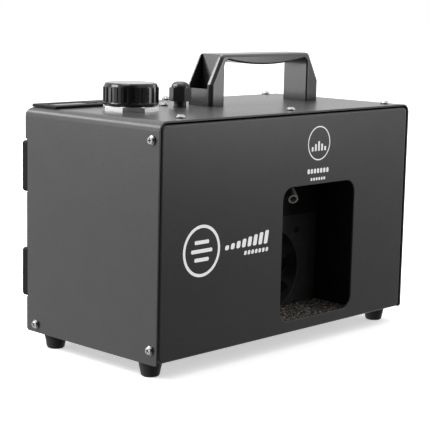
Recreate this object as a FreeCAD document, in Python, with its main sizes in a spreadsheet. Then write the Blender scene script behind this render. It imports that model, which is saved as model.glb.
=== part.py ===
import FreeCAD
import Part
import Sketcher
import math
import os

# A compact haze machine: a sheet metal case on four rubber feet, with a fluid tank, a pump, a
# heater with its nozzle, and an axial fan that blows the haze out of a chamber in the front panel.
#
# Frame, in millimetres: +X runs to the right along the long front face, -Y is the front face
# with the outlet, +Z is up. The origin is the bottom centre of the whole machine's box.

# ---------------------------------------------------------------- driving dimensions

SIZES = [
    ("BodyLength", 333.6, "case, along X"),
    ("BodyDepth", 169.2, "case, along Y"),
    ("BodyHeight", 200.0, "case, along Z, above the feet"),
    ("FootHeight", 14.0, "underside of the case above the ground"),
    ("BumperReach", 5.4, "rear bumpers, behind the case"),
    ("SheetThick", 1.5, "case sheet metal"),
    ("InnerSheet", 1.2, "brackets and baffles inside"),
    ("PanelGap", 1.3, "slit between the cover and the chassis"),
    ("CoverBend", 8.0, "outer bend of the cover's long top edges"),
    ("RearBend", 6.0, "outer bend of the cover's rear top edge"),
    ("LipDrop", 28.0, "height of the cover's rear lip"),
    ("LipStep", 1.9, "rear panel, in front of the lip's outer face"),
    ("ChassisRise", 1.0, "chassis floor above the cover's lower edge"),
    ("ChassisCorner", 5.5, "front panel's corners"),
    ("PanelEdge", 1.9, "rounding round the front panel"),
    ("SideFlange", 16.0, "chassis flanges behind the cover's sides"),
    ("TopFlange", 22.0, "chassis flanges under the cover's top"),
    ("OutletLeft", -14.5, "outlet opening, left edge"),
    ("OutletRight", 86.5, "outlet opening, right edge"),
    ("OutletLow", 11.7, "outlet opening, lower edge above the case's underside"),
    ("OutletHigh", 133.5, "outlet opening, upper edge above the case's underside"),
    ("OutletCorner", 12.0, "outlet opening, corner radius"),
    ("RowSetback", 93.1, "filler, vent and handle row, behind the front face"),
    ("CapX", -112.0, "filler neck axis"),
    ("NeckRadius", 19.0, "filler neck"),
    ("NutFlats", 46.3, "octagonal tank nut, across flats"),
    ("NutHeight", 4.2, "octagonal tank nut"),
    ("CapRadius", 24.3, "fill cap"),
    ("CapHeight", 19.8, "fill cap"),
    ("VentX", -52.0, "vent axis"),
    ("VentHex", 17.6, "vent dome nut, across flats"),
    ("HandleLeft", -27.0, "carry handle, left end"),
    ("HandleRight", 124.0, "carry handle, right end"),
    ("HandleHeight", 46.8, "carry handle"),
    ("HandleWidth", 29.5, "carry handle, along Y"),
    ("HandleSetback", 78.6, "carry handle's front face, behind the front face"),
    ("KneeHeight", 20.0, "carry handle, where its ends start to slope"),
    ("ScrewHead", 4.05, "case screws, head radius"),
    ("ScrewShank", 1.95, "case screws, shank radius"),
    ("FootX", 152.5, "feet, from the middle"),
    ("FootInset", 21.5, "front feet, from the case's front face"),
    ("RearFootInset", 25.0, "rear feet, from the case's rear face"),
    ("BezelLeft", -161.5, "control panel, left end"),
    ("BezelLength", 101.0, "control panel, along X"),
    ("BezelDepth", 35.2, "control panel, along Y"),
    ("BezelThick", 2.5, "control panel plate"),
    ("ButtonRadius", 3.4, "menu buttons"),
    ("TankLeft", -156.0, "fluid tank, left side"),
    ("TankLength", 120.0, "fluid tank, along X"),
    ("TankDepth", 100.0, "fluid tank, along Y"),
    ("TankLow", 74.0, "fluid tank, underside"),
    ("TankHigh", 200.0, "fluid tank, shoulder"),
    ("TankWall", 2.5, "fluid tank wall"),
    ("FanX", 36.0, "fan axis"),
    ("FanZ", 58.0, "fan axis"),
    ("FanSide", 80.0, "fan frame, square side"),
    ("FanThick", 25.0, "fan frame, along Y"),
    ("FanBore", 38.4, "fan bore radius"),
    ("PlateSetback", 56.6, "fan plate, behind the front face"),
    ("PlateHigh", 113.0, "fan plate, top edge"),
    ("HeaterLength", 100.0, "heater block, along X"),
    ("HeaterDepth", 44.0, "heater block, along Y"),
    ("HeaterHeight", 30.0, "heater block, along Z"),
    ("HeaterZ", 141.0, "heater block's middle"),
    ("WrapThick", 5.0, "heater insulation"),
    ("HoseRadius", 3.0, "fluid hoses"),
    ("PumpZ", 40.0, "pump axis"),
    ("PumpRadius", 18.0, "pump housing"),
    ("FitGap", 0.05, "radial clearance of running fits"),
]

doc = FreeCAD.newDocument("haze_machine")
sheet = doc.addObject("Spreadsheet::Sheet", "Sizes")


class Size:
    """A length that carries its number and the spreadsheet expression that gives it."""

    def __init__(self, number, words):
        self.number = float(number)
        self.words = words

    def __add__(self, other):
        other = as_size(other)
        return Size(self.number + other.number, "(%s + %s)" % (self.words, other.words))

    def __sub__(self, other):
        other = as_size(other)
        return Size(self.number - other.number, "(%s - %s)" % (self.words, other.words))

    def __mul__(self, other):
        other = as_size(other)
        return Size(self.number * other.number, "(%s * %s)" % (self.words, other.words))

    def __truediv__(self, other):
        other = as_size(other)
        return Size(self.number / other.number, "(%s / %s)" % (self.words, other.words))

    def __radd__(self, other):
        return as_size(other) + self

    def __rsub__(self, other):
        return as_size(other) - self

    def __rmul__(self, other):
        return as_size(other) * self

    def __neg__(self):
        return as_size(0) - self


def as_size(value):
    """A plain number becomes a Size whose expression is that number."""
    if isinstance(value, Size):
        return value
    return Size(value, "(%.6f)" % value)


def fill_sheet():
    """Writes the driving dimensions into the sheet: words, number, alias."""
    for row, (alias, number, words) in enumerate(SIZES, 1):
        sheet.set("A%d" % row, words)
        sheet.set("B%d" % row, str(number))
        sheet.setAlias("B%d" % row, alias)
    doc.recompute()


fill_sheet()
size = {alias: Size(sheet.get(alias), "Sizes." + alias) for alias, _, _ in SIZES}

# Levels and faces that many sub-parts share, worked out from the driving dimensions.
thick = size["SheetThick"]
inner = size["InnerSheet"]
half = size["BodyLength"] / 2
front = -(size["BodyDepth"] + size["BumperReach"]) / 2
rear = front + size["BodyDepth"]
base = size["FootHeight"]
top = base + size["BodyHeight"]
under_top = top - thick
chassis_half = half - thick - size["PanelGap"]
chassis_low = base + size["ChassisRise"]
chassis_high = under_top - size["PanelGap"]
chassis_rear = rear - size["LipStep"]
floor = chassis_low + thick
row_y = front + size["RowSetback"]
plate_y = front + size["PlateSetback"]
fan_y = plate_y + inner
service_y = row_y - 8.8
tank_front = row_y - 72.5
tank_rear = tank_front + size["TankDepth"]
tank_right = size["TankLeft"] + size["TankLength"]

# ---------------------------------------------------------------- helpers

PLANES = {"XY": ("XY_Plane", 1), "XZ": ("XZ_Plane", -1), "YZ": ("YZ_Plane", 1)}
AXIS_TURN = {
    "x": FreeCAD.Rotation(FreeCAD.Vector(0, 1, 0), 90),
    "y": FreeCAD.Rotation(FreeCAD.Vector(1, 0, 0), -90),
    "z": FreeCAD.Rotation(),
    "-x": FreeCAD.Rotation(FreeCAD.Vector(0, 1, 0), -90),
    "-y": FreeCAD.Rotation(FreeCAD.Vector(1, 0, 0), 90),
    "-z": FreeCAD.Rotation(FreeCAD.Vector(1, 0, 0), 180),
}
nodes = {}


def set_size(thing, name, value):
    """Sets a property to a Size's number and binds it to the Size's expression."""
    value = as_size(value)
    setattr(thing, name, value.number)
    if "Sizes." in value.words:
        thing.setExpression(name, value.words)


def place(thing, x=0, y=0, z=0, turn="z", spin=0):
    """Places an object's own Z axis along `turn`, turned by `spin` degrees about itself."""
    where = [as_size(value) for value in (x, y, z)]
    rotation = AXIS_TURN[turn].multiply(FreeCAD.Rotation(FreeCAD.Vector(0, 0, 1), spin))
    thing.Placement = FreeCAD.Placement(FreeCAD.Vector(*[value.number for value in where]), rotation)
    for axis, value in zip("xyz", where):
        if "Sizes." in value.words:
            thing.setExpression("Placement.Base." + axis, value.words)
    return thing


def node(name, thing):
    """Registers a finished sub-part under the name of its file."""
    thing.Label = name
    nodes[name] = thing
    return thing


def block(low, high):
    """A Part box between two corners."""
    box = doc.addObject("Part::Box", "block")
    for name, start, end in zip(("Length", "Width", "Height"), low, high):
        set_size(box, name, as_size(end) - start)
    return place(box, *low)


def rod(radius, x, y, z, length, turn="z"):
    """A Part cylinder that starts at a point and runs along `turn`."""
    cylinder = doc.addObject("Part::Cylinder", "rod")
    set_size(cylinder, "Radius", radius)
    set_size(cylinder, "Height", length)
    return place(cylinder, x, y, z, turn)


def fuse(*things):
    """A Part union."""
    union = doc.addObject("Part::MultiFuse", "union")
    union.Shapes = list(things)
    return union


def cut(thing, *tools):
    """A Part cut of one or more tools from a thing."""
    result = doc.addObject("Part::Cut", "cut")
    result.Base = thing
    result.Tool = tools[0] if len(tools) == 1 else fuse(*tools)
    return result


def body_of(name):
    """A new PartDesign body."""
    return doc.addObject("PartDesign::Body", name)


def pin(sketch, shape_index, point, x, y):
    """Fixes a sketch point at x, y from the sketch's origin."""
    for kind, value in (("DistanceX", as_size(x)), ("DistanceY", as_size(y))):
        rule = Sketcher.Constraint(kind, -1, 1, shape_index, point, value.number)
        index = sketch.addConstraint(rule)
        if "Sizes." in value.words:
            sketch.setExpression("Constraints[%d]" % index, value.words)


def radius_rule(sketch, shape_index, radius):
    """Sets the radius of a circle or an arc in a sketch."""
    radius = as_size(radius)
    index = sketch.addConstraint(Sketcher.Constraint("Radius", shape_index, radius.number))
    if "Sizes." in radius.words:
        sketch.setExpression("Constraints[%d]" % index, radius.words)


def flat_point(x, y):
    """A sketch point as a vector."""
    return FreeCAD.Vector(as_size(x).number, as_size(y).number, 0)


def circle(x, y, radius):
    """Draws a circle."""

    def draw(sketch):
        round_edge = Part.Circle(flat_point(x, y), FreeCAD.Vector(0, 0, 1), as_size(radius).number)
        index = sketch.addGeometry(round_edge)
        pin(sketch, index, 3, x, y)
        radius_rule(sketch, index, radius)

    return draw


def polygon(*points):
    """Draws a closed run of straight lines."""

    def draw(sketch):
        first = sketch.GeometryCount
        count = len(points)
        for step in range(count):
            ends = flat_point(*points[step]), flat_point(*points[(step + 1) % count])
            sketch.addGeometry(Part.LineSegment(*ends))
        for step in range(count):
            following = first + (step + 1) % count
            sketch.addConstraint(Sketcher.Constraint("Coincident", first + step, 2, following, 1))
            pin(sketch, first + step, 1, *points[step])

    return draw


def rectangle(left, low, right, high):
    """Draws a rectangle with sharp corners."""
    return polygon((left, low), (right, low), (right, high), (left, high))


def rounded(left, low, right, high, corner):
    """Draws a rectangle with round corners: arcs and straight sides, tangent to each other."""
    left, low, right, high, corner = (as_size(value) for value in (left, low, right, high, corner))
    centres = [
        (right - corner, low + corner),
        (right - corner, high - corner),
        (left + corner, high - corner),
        (left + corner, low + corner),
    ]

    def draw(sketch):
        first = sketch.GeometryCount
        reach = corner.number
        for step, (x, y) in enumerate(centres):
            ring = Part.Circle(flat_point(x, y), FreeCAD.Vector(0, 0, 1), reach)
            start = math.radians(90 * step - 90)
            sketch.addGeometry(Part.ArcOfCircle(ring, start, start + math.pi / 2))
        for step, (x, y) in enumerate(centres):
            following = centres[(step + 1) % 4]
            angle = math.radians(90 * step)
            edge = FreeCAD.Vector(reach * math.cos(angle), reach * math.sin(angle), 0)
            sketch.addGeometry(Part.LineSegment(flat_point(x, y) + edge, flat_point(*following) + edge))
        for step, (x, y) in enumerate(centres):
            arc, line, following = first + step, first + 4 + step, first + (step + 1) % 4
            sketch.addConstraint(Sketcher.Constraint("Tangent", arc, 2, line, 1))
            sketch.addConstraint(Sketcher.Constraint("Tangent", line, 2, following, 1))
            pin(sketch, arc, 3, x, y)
            radius_rule(sketch, arc, corner)

    return draw


def arc_corner(x, y, radius, apex):
    """Draws a quarter arc, from the right of its centre to above it, closed by two lines to an apex."""
    radius = as_size(radius)
    ends = [(x + radius, y), (x, y + radius)]

    def draw(sketch):
        ring = Part.Circle(flat_point(x, y), FreeCAD.Vector(0, 0, 1), radius.number)
        arc = sketch.addGeometry(Part.ArcOfCircle(ring, 0, math.pi / 2))
        back = sketch.addGeometry(Part.LineSegment(flat_point(*ends[1]), flat_point(*apex)))
        out = sketch.addGeometry(Part.LineSegment(flat_point(*apex), flat_point(*ends[0])))
        sketch.addConstraint(Sketcher.Constraint("Coincident", arc, 2, back, 1))
        sketch.addConstraint(Sketcher.Constraint("Coincident", back, 2, out, 1))
        sketch.addConstraint(Sketcher.Constraint("Coincident", out, 2, arc, 1))
        pin(sketch, out, 1, *apex)
        pin(sketch, out, 2, *ends[0])
        pin(sketch, back, 1, *ends[1])
        radius_rule(sketch, arc, radius)

    return draw


def regular(sides, flats, turn=0.0):
    """Draws a regular polygon of a given width across flats; `turn` points one flat, in degrees."""
    reach = as_size(flats) / (2 * math.cos(math.pi / sides))
    angles = [math.radians(turn) + math.pi * (2 * step + 1) / sides for step in range(sides)]
    return polygon(*[(reach * math.cos(angle), reach * math.sin(angle)) for angle in angles])


def cross(arm, width):
    """Draws a plus sign, the mouth of a cross recess."""
    points = []
    for quarter in range(4):
        cosine, sine = round(math.cos(quarter * math.pi / 2)), round(math.sin(quarter * math.pi / 2))
        for x, y in ((arm, -width), (arm, width), (width, width)):
            points.append((x * cosine - y * sine, x * sine + y * cosine))
    return polygon(*points)


def sketch_on(body, plane, at, outlines):
    """A sketch on one of the body's own origin planes, moved along that plane's axis."""
    role, side = PLANES[plane]
    sketch = body.newObject("Sketcher::SketchObject", "outline")
    support = [feature for feature in body.Origin.OriginFeatures if feature.Role == role][0]
    sketch.AttachmentSupport = [(support, "")]
    sketch.MapMode = "FlatFace"
    offset = as_size(at) * side
    sketch.AttachmentOffset = FreeCAD.Placement(
        FreeCAD.Vector(0, 0, offset.number), FreeCAD.Rotation()
    )
    if "Sizes." in offset.words:
        sketch.setExpression("AttachmentOffset.Base.z", offset.words)
    for draw in outlines:
        draw(sketch)
    return sketch


def add(body, plane, start, end, *outlines):
    """Pads outlines from `start` to `end` along the plane's axis."""
    sketch = sketch_on(body, plane, start, outlines)
    feature = body.newObject("PartDesign::Pad", "pad")
    feature.Profile = sketch
    set_size(feature, "Length", as_size(end) - start)
    feature.Reversed = PLANES[plane][1] < 0
    return feature


def remove(body, plane, start, end, *outlines):
    """Pockets outlines from `start` to `end` along the plane's axis."""
    sketch = sketch_on(body, plane, start, outlines)
    feature = body.newObject("PartDesign::Pocket", "pocket")
    feature.Profile = sketch
    set_size(feature, "Length", as_size(end) - start)
    feature.Reversed = PLANES[plane][1] > 0
    return feature


def turned(body, kind, *outlines):
    """Turns outlines of radius and height about the body's Z axis: a Revolution or a Groove."""
    sketch = sketch_on(body, "XZ", 0, outlines)
    feature = body.newObject("PartDesign::" + kind, kind.lower())
    feature.Profile = sketch
    feature.ReferenceAxis = (sketch, ["V_Axis"])
    feature.Angle = 360
    return feature


def repeat_round(body, feature, count):
    """Repeats a feature evenly about the body's Z axis."""
    pattern = body.newObject("PartDesign::PolarPattern", "round_pattern")
    pattern.Originals = [feature]
    axis = [line for line in body.Origin.OriginFeatures if line.Role == "Z_Axis"][0]
    pattern.Axis = (axis, [""])
    pattern.Angle = 360
    pattern.Occurrences = count
    body.Tip = pattern
    return pattern


def repeat_along(body, feature, role, length, count):
    """Repeats a feature evenly along one of the body's origin axes."""
    pattern = body.newObject("PartDesign::LinearPattern", "row_pattern")
    pattern.Originals = [feature]
    axis = [line for line in body.Origin.OriginFeatures if line.Role == role][0]
    pattern.Direction = (axis, [""])
    set_size(pattern, "Length", length)
    pattern.Occurrences = count
    body.Tip = pattern
    return pattern


def soften(body, kind, amount, chosen):
    """A Fillet or Chamfer on the edges for which chosen(low, high) is true, given the edge's box."""
    doc.recompute()
    finished = body.Tip
    names = []
    for index, edge in enumerate(finished.Shape.Edges, 1):
        limits = edge.BoundBox
        low = FreeCAD.Vector(limits.XMin, limits.YMin, limits.ZMin)
        high = FreeCAD.Vector(limits.XMax, limits.YMax, limits.ZMax)
        if chosen(low, high):
            names.append("Edge%d" % index)
    feature = body.newObject("PartDesign::" + kind, kind.lower())
    feature.Base = (finished, names)
    set_size(feature, "Radius" if kind == "Fillet" else "Size", amount)
    return feature


def near(value, target):
    """True if a coordinate is at a target, within a hundredth of a millimetre."""
    return abs(value - as_size(target).number) < 0.01


def copies(name, master, spots):
    """A group of links to one master shape; a spot is (x, y, z, turn, spin)."""
    links = []
    for spot in spots:
        link = doc.addObject("App::Link", "copy")
        link.LinkedObject = master
        links.append(place(link, *spot))
    group = doc.addObject("Part::Compound", name)
    group.Links = links
    return node(name, group)


def hose(name, radius, points, bend):
    """A round hose along straight runs joined by tangent arcs of one bend radius."""
    corners = [FreeCAD.Vector(*[as_size(value).number for value in point]) for point in points]
    bend = as_size(bend).number
    radius = as_size(radius).number
    edges = []
    start = corners[0]
    for before, corner, after in zip(corners, corners[1:], corners[2:]):
        inward = (corner - before).normalize()
        outward = (after - corner).normalize()
        turn_angle = inward.getAngle(outward)
        cut_back = bend * math.tan(turn_angle / 2)
        arc_start = corner - inward * cut_back
        arc_end = corner + outward * cut_back
        bisector = (outward - inward).normalize()
        middle = corner + bisector * (bend / math.cos(turn_angle / 2) - bend)
        edges.append(Part.LineSegment(start, arc_start).toShape())
        edges.append(Part.Arc(arc_start, middle, arc_end).toShape())
        start = arc_end
    edges.append(Part.LineSegment(start, corners[-1]).toShape())
    path = Part.Wire(edges)
    section = Part.Wire(Part.Circle(corners[0], corners[1] - corners[0], radius).toShape())
    feature = doc.addObject("Part::Feature", name)
    feature.Shape = path.makePipeShell([section], True, False)
    drawn = feature.Shape.Volume / (math.pi * radius**2 * path.Length)
    print("%s: bends of %.1f mm, volume over section times length %.4f" % (name, bend, drawn))
    return node(name, feature)


# ---------------------------------------------------------------- fasteners

SIDE_SCREWS = [(8.1, 184.6), (7.2, 12.5), (154.1, 7.5)]
FRONT_TOP_SCREWS = [-130.0, 7.7, 146.2]
REAR_TOP_SCREWS = [-2.9, 140.0]
TOP_SCREW_SETBACK = 13.6
REAR_SCREW_INSET = 7.6
TANK_SCREW = (-55.8, 110.4)
SHANK_LENGTH = 8.0
SMALL_HEAD = 2.8
SMALL_SHANK = 1.45


def pan_screw(name, head, shank, length):
    """A pan head screw with a cross recess; its seat is at z 0 and its head is up."""
    screw = body_of(name)
    rise = head * 0.8
    shoulder = head * 0.72
    turned(
        screw,
        "Revolution",
        polygon(
            (0, -length),
            (shank * 0.7, -length),
            (shank, -length + 0.8),
            (shank, 0),
            (head, 0),
            (head, rise * 0.4),
            (shoulder, rise * 0.86),
            (shoulder * 0.5, rise),
            (0, rise),
        ),
    )
    remove(screw, "XY", rise * 0.4, rise + 0.1, cross(head * 0.5, head * 0.11))
    return screw


def fasteners():
    """The case's screws, the handle's screws and nuts, and the fan's and sockets' screws."""
    case_screw = pan_screw("case_screw", size["ScrewHead"], size["ScrewShank"], SHANK_LENGTH)
    small_screw = pan_screw("small_screw", SMALL_HEAD, SMALL_SHANK, 7.0)
    sides = []
    for side, turn in ((-1, "-x"), (1, "x")):
        for setback, rise in SIDE_SCREWS:
            sides.append((half * side, front + setback, base + rise, turn, 20 * rise))
    copies("side_screws", case_screw, sides)
    tops = [(x, front + TOP_SCREW_SETBACK, top, "z", 3 * x) for x in FRONT_TOP_SCREWS]
    tops += [(x, rear - REAR_SCREW_INSET, top, "z", 3 * x) for x in REAR_TOP_SCREWS]
    tops.append((TANK_SCREW[0], front + TANK_SCREW[1], top, "z", 30))
    copies("top_screws", case_screw, tops)
    copies("foot_screws", case_screw, [(x, y, FOOT_SEAT, "-z", 45) for x, y in foot_spots()])
    handle_spots = list(handle_screw_spots())
    copies(
        "handle_screws",
        case_screw,
        [(x, y, top + HANDLE_FLOOR, "z", 30) for x, y in handle_spots],
    )
    nut = body_of("handle_nut")
    add(nut, "XY", 0, 2.6, regular(6, 7.0), circle(0, 0, size["ScrewShank"]))
    copies("handle_nuts", nut, [(x, y, under_top - 2.6, "z", 15) for x, y in handle_spots])
    fan_spots = []
    for x_side in (-1, 1):
        for z_side in (-1, 1):
            x = size["FanX"] + FAN_HOLE * x_side
            z = size["FanZ"] + FAN_HOLE * z_side
            fan_spots.append((x, plate_y, z, "-y", 45))
    copies("fan_screws", small_screw, fan_spots)
    socket_spots = []
    for x in (DMX_IN_X, DMX_OUT_X):
        for side in (-1, 1):
            spot = (x + 9.5 * side, chassis_rear + DMX_FLANGE, DMX_Z + 12.0 * side, "y", 45)
            socket_spots.append(spot)
    copies("socket_screws", small_screw, socket_spots)


# ---------------------------------------------------------------- case

INTAKE_SLOTS = 10
INTAKE_SLOT_RADIUS = 2.0
INTAKE_HALF_WIDTH = 38.0
BUMPER_ZONES = [(30.8, 74.5), (124.8, 170.1)]
BUMPER_WIDTH = 10.8
BUMPER_PEG = 2.0
BUMPER_PEG_DEPTH = 2.4
BUMPER_NOTCH = 1.0
LOWER_CORNER = 3.0
INLET_X = -128.0
INLET_Z = 60.0
SWITCH_Z = 108.0
DMX_IN_X = -88.0
DMX_OUT_X = -54.0
DMX_Z = 60.0
DMX_FLANGE = 2.0
DMX_SHELL = 11.8
HANDLE_FLOOR = 4.0
FOOT_SEAT = 5.0
FOOT_TOP_RADIUS = 10.4
FOOT_TIP_RADIUS = 7.9
FOOT_BORE = 4.9
FAN_HOLE = 35.75
BEZEL_SLOT_EDGE = 5.5


def foot_spots():
    """The middles of the four feet."""
    for x in (-size["FootX"], size["FootX"]):
        for y in (front + size["FootInset"], rear - size["RearFootInset"]):
            yield x, y


def handle_screw_spots():
    """The middles of the four handle screws, two in the floor of each end pocket."""
    pocket_middle = 8.5
    for x in (size["HandleLeft"] + pocket_middle, size["HandleRight"] - pocket_middle):
        for y in (row_y - 5.0, row_y + 8.0):
            yield x, y


def at_corner(low, high, y, z):
    """True for an edge that runs along X at the given Y and Z."""
    return near(low.y, y) and near(high.y, y) and near(low.z, z) and near(high.z, z)


def cover_shell():
    """The outer cover: left side, top and right side in one bent sheet, with a lip at the rear."""
    cover = body_of("cover_shell")
    bend, rear_bend = size["CoverBend"], size["RearBend"]
    inside = half - thick
    lip_low = top - size["LipDrop"]
    add(cover, "XZ", front, rear, rectangle(-half, base, half, top))
    soften(cover, "Fillet", bend, lambda low, high: near(low.x, high.x) and near(low.z, top))
    hollow = rounded(-inside, base - 2 * bend, inside, under_top, bend - thick)
    remove(cover, "XZ", front, rear - thick, hollow)
    bend_middle = (rear - rear_bend, top - rear_bend)
    inner_corner = arc_corner(*bend_middle, rear_bend - thick, (rear - thick, under_top))
    add(cover, "YZ", bend / 2 - half, half - bend / 2, inner_corner)
    spare_corner = arc_corner(*bend_middle, rear_bend, (rear, top))
    remove(cover, "YZ", -half, half, spare_corner)
    remove(cover, "XZ", rear - thick, rear, rectangle(-inside, base - 1, inside, lip_low))
    step_y = rear - size["LipStep"]
    remove(cover, "YZ", -half, half, rectangle(step_y, base - 1, rear + 1, lip_low))
    for corner_y in (front, step_y):
        soften(cover, "Fillet", LOWER_CORNER, lambda low, high: at_corner(low, high, corner_y, base))
    for low, high in BUMPER_ZONES:
        notch = rectangle(step_y - BUMPER_NOTCH, base + low, rear + 1, base + high)
        remove(cover, "YZ", -half, half, notch)
    hole = size["ScrewShank"] + 0.2
    remove(
        cover,
        "YZ",
        -half,
        half,
        *[circle(front + setback, base + rise, hole) for setback, rise in SIDE_SCREWS],
    )
    bezel_right = size["BezelLeft"] + size["BezelLength"]
    bezel_front = rear - 1 - size["BezelDepth"]
    holes = [circle(x, front + TOP_SCREW_SETBACK, hole) for x in FRONT_TOP_SCREWS]
    holes += [circle(x, rear - REAR_SCREW_INSET, hole) for x in REAR_TOP_SCREWS]
    holes += [circle(x, y, size["ScrewShank"]) for x, y in handle_screw_spots()]
    holes += [
        circle(TANK_SCREW[0], front + TANK_SCREW[1], hole),
        circle(size["CapX"], row_y, size["NeckRadius"]),
        circle(size["VentX"], row_y, VENT_THREAD),
        rounded(
            size["BezelLeft"] + BEZEL_SLOT_EDGE,
            bezel_front + BEZEL_SLOT_EDGE,
            bezel_right - BEZEL_SLOT_EDGE,
            rear - 1 - BEZEL_SLOT_EDGE,
            2.0,
        ),
    ]
    remove(cover, "XY", under_top, top, *holes)
    return node("cover_shell", cover)


def chassis_pan():
    """The chassis: front panel, floor and rear panel, with flanges that the cover screws to."""
    pan = body_of("chassis_pan")
    corner = size["ChassisCorner"]
    outer = rounded(-chassis_half, chassis_low, chassis_half, chassis_high, corner)
    add(pan, "XZ", front, front + thick, outer)
    wall = rounded(
        -chassis_half + thick,
        chassis_low + thick,
        chassis_half - thick,
        chassis_high - thick,
        corner - thick,
    )
    add(pan, "XZ", front + thick, chassis_rear - thick, outer, wall)
    add(pan, "XZ", chassis_rear - thick, chassis_rear, outer)
    soften(
        pan,
        "Fillet",
        size["PanelEdge"],
        lambda low, high: near(low.y, front) and near(high.y, front),
    )
    bend = size["RearBend"] - thick
    bend_middle = (chassis_rear - bend, chassis_high - bend)
    inner_corner = arc_corner(*bend_middle, bend - thick, (chassis_rear - thick, chassis_high - thick))
    add(pan, "YZ", corner - chassis_half, chassis_half - corner, inner_corner)
    spare_corner = arc_corner(*bend_middle, bend, (chassis_rear, chassis_high))
    remove(pan, "YZ", -chassis_half, chassis_half, spare_corner)
    flange = size["SideFlange"]
    side_window = rounded(
        front + flange, chassis_low + flange, chassis_rear - flange, chassis_high - flange, 4.0
    )
    remove(pan, "YZ", -chassis_half - 1, chassis_half + 1, side_window)
    flange = size["TopFlange"]
    top_window = rounded(
        -chassis_half + flange, front + flange, chassis_half - flange, chassis_rear - flange, 4.0
    )
    remove(pan, "XY", chassis_high - 2 * thick, chassis_high + 1, top_window)
    board_left = size["BezelLeft"] + 3
    board_right = size["BezelLeft"] + size["BezelLength"] - 3
    board_front = rear - size["BezelDepth"]
    board_notch = rounded(board_left, board_front, board_right, chassis_rear - 3, 2.0)
    remove(pan, "XY", chassis_high - 2 * thick, chassis_high + 1, board_notch)
    outlet = rounded(
        size["OutletLeft"],
        base + size["OutletLow"],
        size["OutletRight"],
        base + size["OutletHigh"],
        size["OutletCorner"],
    )
    remove(pan, "XZ", front - 1, front + thick + 1, outlet)
    soften(
        pan,
        "Fillet",
        0.4,
        lambda low, high: near(low.y, front) and near(high.y, front) and beside_outlet(low, high),
    )
    tapped = size["ScrewShank"]
    remove(
        pan,
        "YZ",
        -chassis_half - 1,
        chassis_half + 1,
        *[circle(front + setback, base + rise, tapped) for setback, rise in SIDE_SCREWS],
    )
    tops = [circle(x, front + TOP_SCREW_SETBACK, tapped) for x in FRONT_TOP_SCREWS]
    tops += [circle(x, rear - REAR_SCREW_INSET, tapped) for x in REAR_TOP_SCREWS]
    remove(pan, "XY", chassis_high - 2 * thick, chassis_high + 1, *tops)
    feet = [circle(x, y, tapped) for x, y in foot_spots()]
    remove(pan, "XY", chassis_low - 1, chassis_low + thick + 1, *feet)
    rear_holes = [
        rectangle(INLET_X - 14, INLET_Z - 18, INLET_X + 14, INLET_Z + 18),
        rectangle(INLET_X - 6.5, SWITCH_Z - 9.5, INLET_X + 6.5, SWITCH_Z + 9.5),
        circle(DMX_IN_X, DMX_Z, DMX_SHELL),
        circle(DMX_OUT_X, DMX_Z, DMX_SHELL),
    ]
    for x in (DMX_IN_X, DMX_OUT_X):
        rear_holes += [circle(x + 9.5 * side, DMX_Z + 12.0 * side, SMALL_SHANK) for side in (-1, 1)]
    for side in (-1, 1):
        for low, high in BUMPER_ZONES:
            for z in (low + 10, high - 10):
                rear_holes.append(circle((half - BUMPER_WIDTH / 2) * side, base + z, BUMPER_PEG))
    remove(pan, "XZ", chassis_rear - thick - 1, chassis_rear + 1, *rear_holes)
    latch_notch = rectangle(DMX_OUT_X - 3.6, DMX_Z + 8, DMX_OUT_X + 3.6, DMX_Z + 14.8)
    remove(pan, "XZ", chassis_rear - thick - 1, chassis_rear + 1, latch_notch)
    pitch = size["FanSide"] / INTAKE_SLOTS
    first = size["FanZ"] - size["FanSide"] / 2 + pitch / 2
    slot = rounded(
        size["FanX"] - INTAKE_HALF_WIDTH,
        first - INTAKE_SLOT_RADIUS,
        size["FanX"] + INTAKE_HALF_WIDTH,
        first + INTAKE_SLOT_RADIUS,
        INTAKE_SLOT_RADIUS - 0.05,
    )
    slots = remove(pan, "XZ", chassis_rear - thick - 1, chassis_rear + 1, slot)
    repeat_along(pan, slots, "Z_Axis", pitch * (INTAKE_SLOTS - 1), INTAKE_SLOTS)
    return node("chassis_pan", pan)


def beside_outlet(low, high):
    """True for the edges around the outlet opening."""
    return low.x > size["OutletLeft"].number - 0.1 and high.x < size["OutletRight"].number + 0.1


def bumpers():
    """Four rubber bumpers up the rear corners; each has a lip in the cover's notch and two pegs."""
    for side, side_name in ((-1, "left"), (1, "right")):
        for (low, high), level in zip(BUMPER_ZONES, ("lower", "upper")):
            bumper = body_of("bumper")
            length = high - low
            add(
                bumper,
                "XZ",
                0,
                size["BumperReach"] + size["LipStep"],
                rounded(-BUMPER_WIDTH, -length / 2, 0, length / 2, 3.0),
            )
            soften(
                bumper,
                "Fillet",
                2.0,
                lambda edge_low, edge_high: near(edge_low.y, size["BumperReach"] + size["LipStep"]),
            )
            lip = rectangle(-thick, 3.0 - length / 2, 0, length / 2 - 3.0)
            add(bumper, "XZ", -BUMPER_NOTCH, 0, lip)
            pegs = [circle(-BUMPER_WIDTH / 2, 10 - length / 2, BUMPER_PEG)]
            pegs.append(circle(-BUMPER_WIDTH / 2, length / 2 - 10, BUMPER_PEG))
            add(bumper, "XZ", -BUMPER_PEG_DEPTH, 0, *pegs)
            place(bumper, half * side, chassis_rear, base + (low + high) / 2)
            if side < 0:
                flip = FreeCAD.Rotation(FreeCAD.Vector(0, 1, 0), 180)
                bumper.Placement = FreeCAD.Placement(bumper.Placement.Base, flip)
            node("%s_%s_bumper" % (side_name, level), bumper)


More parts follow.
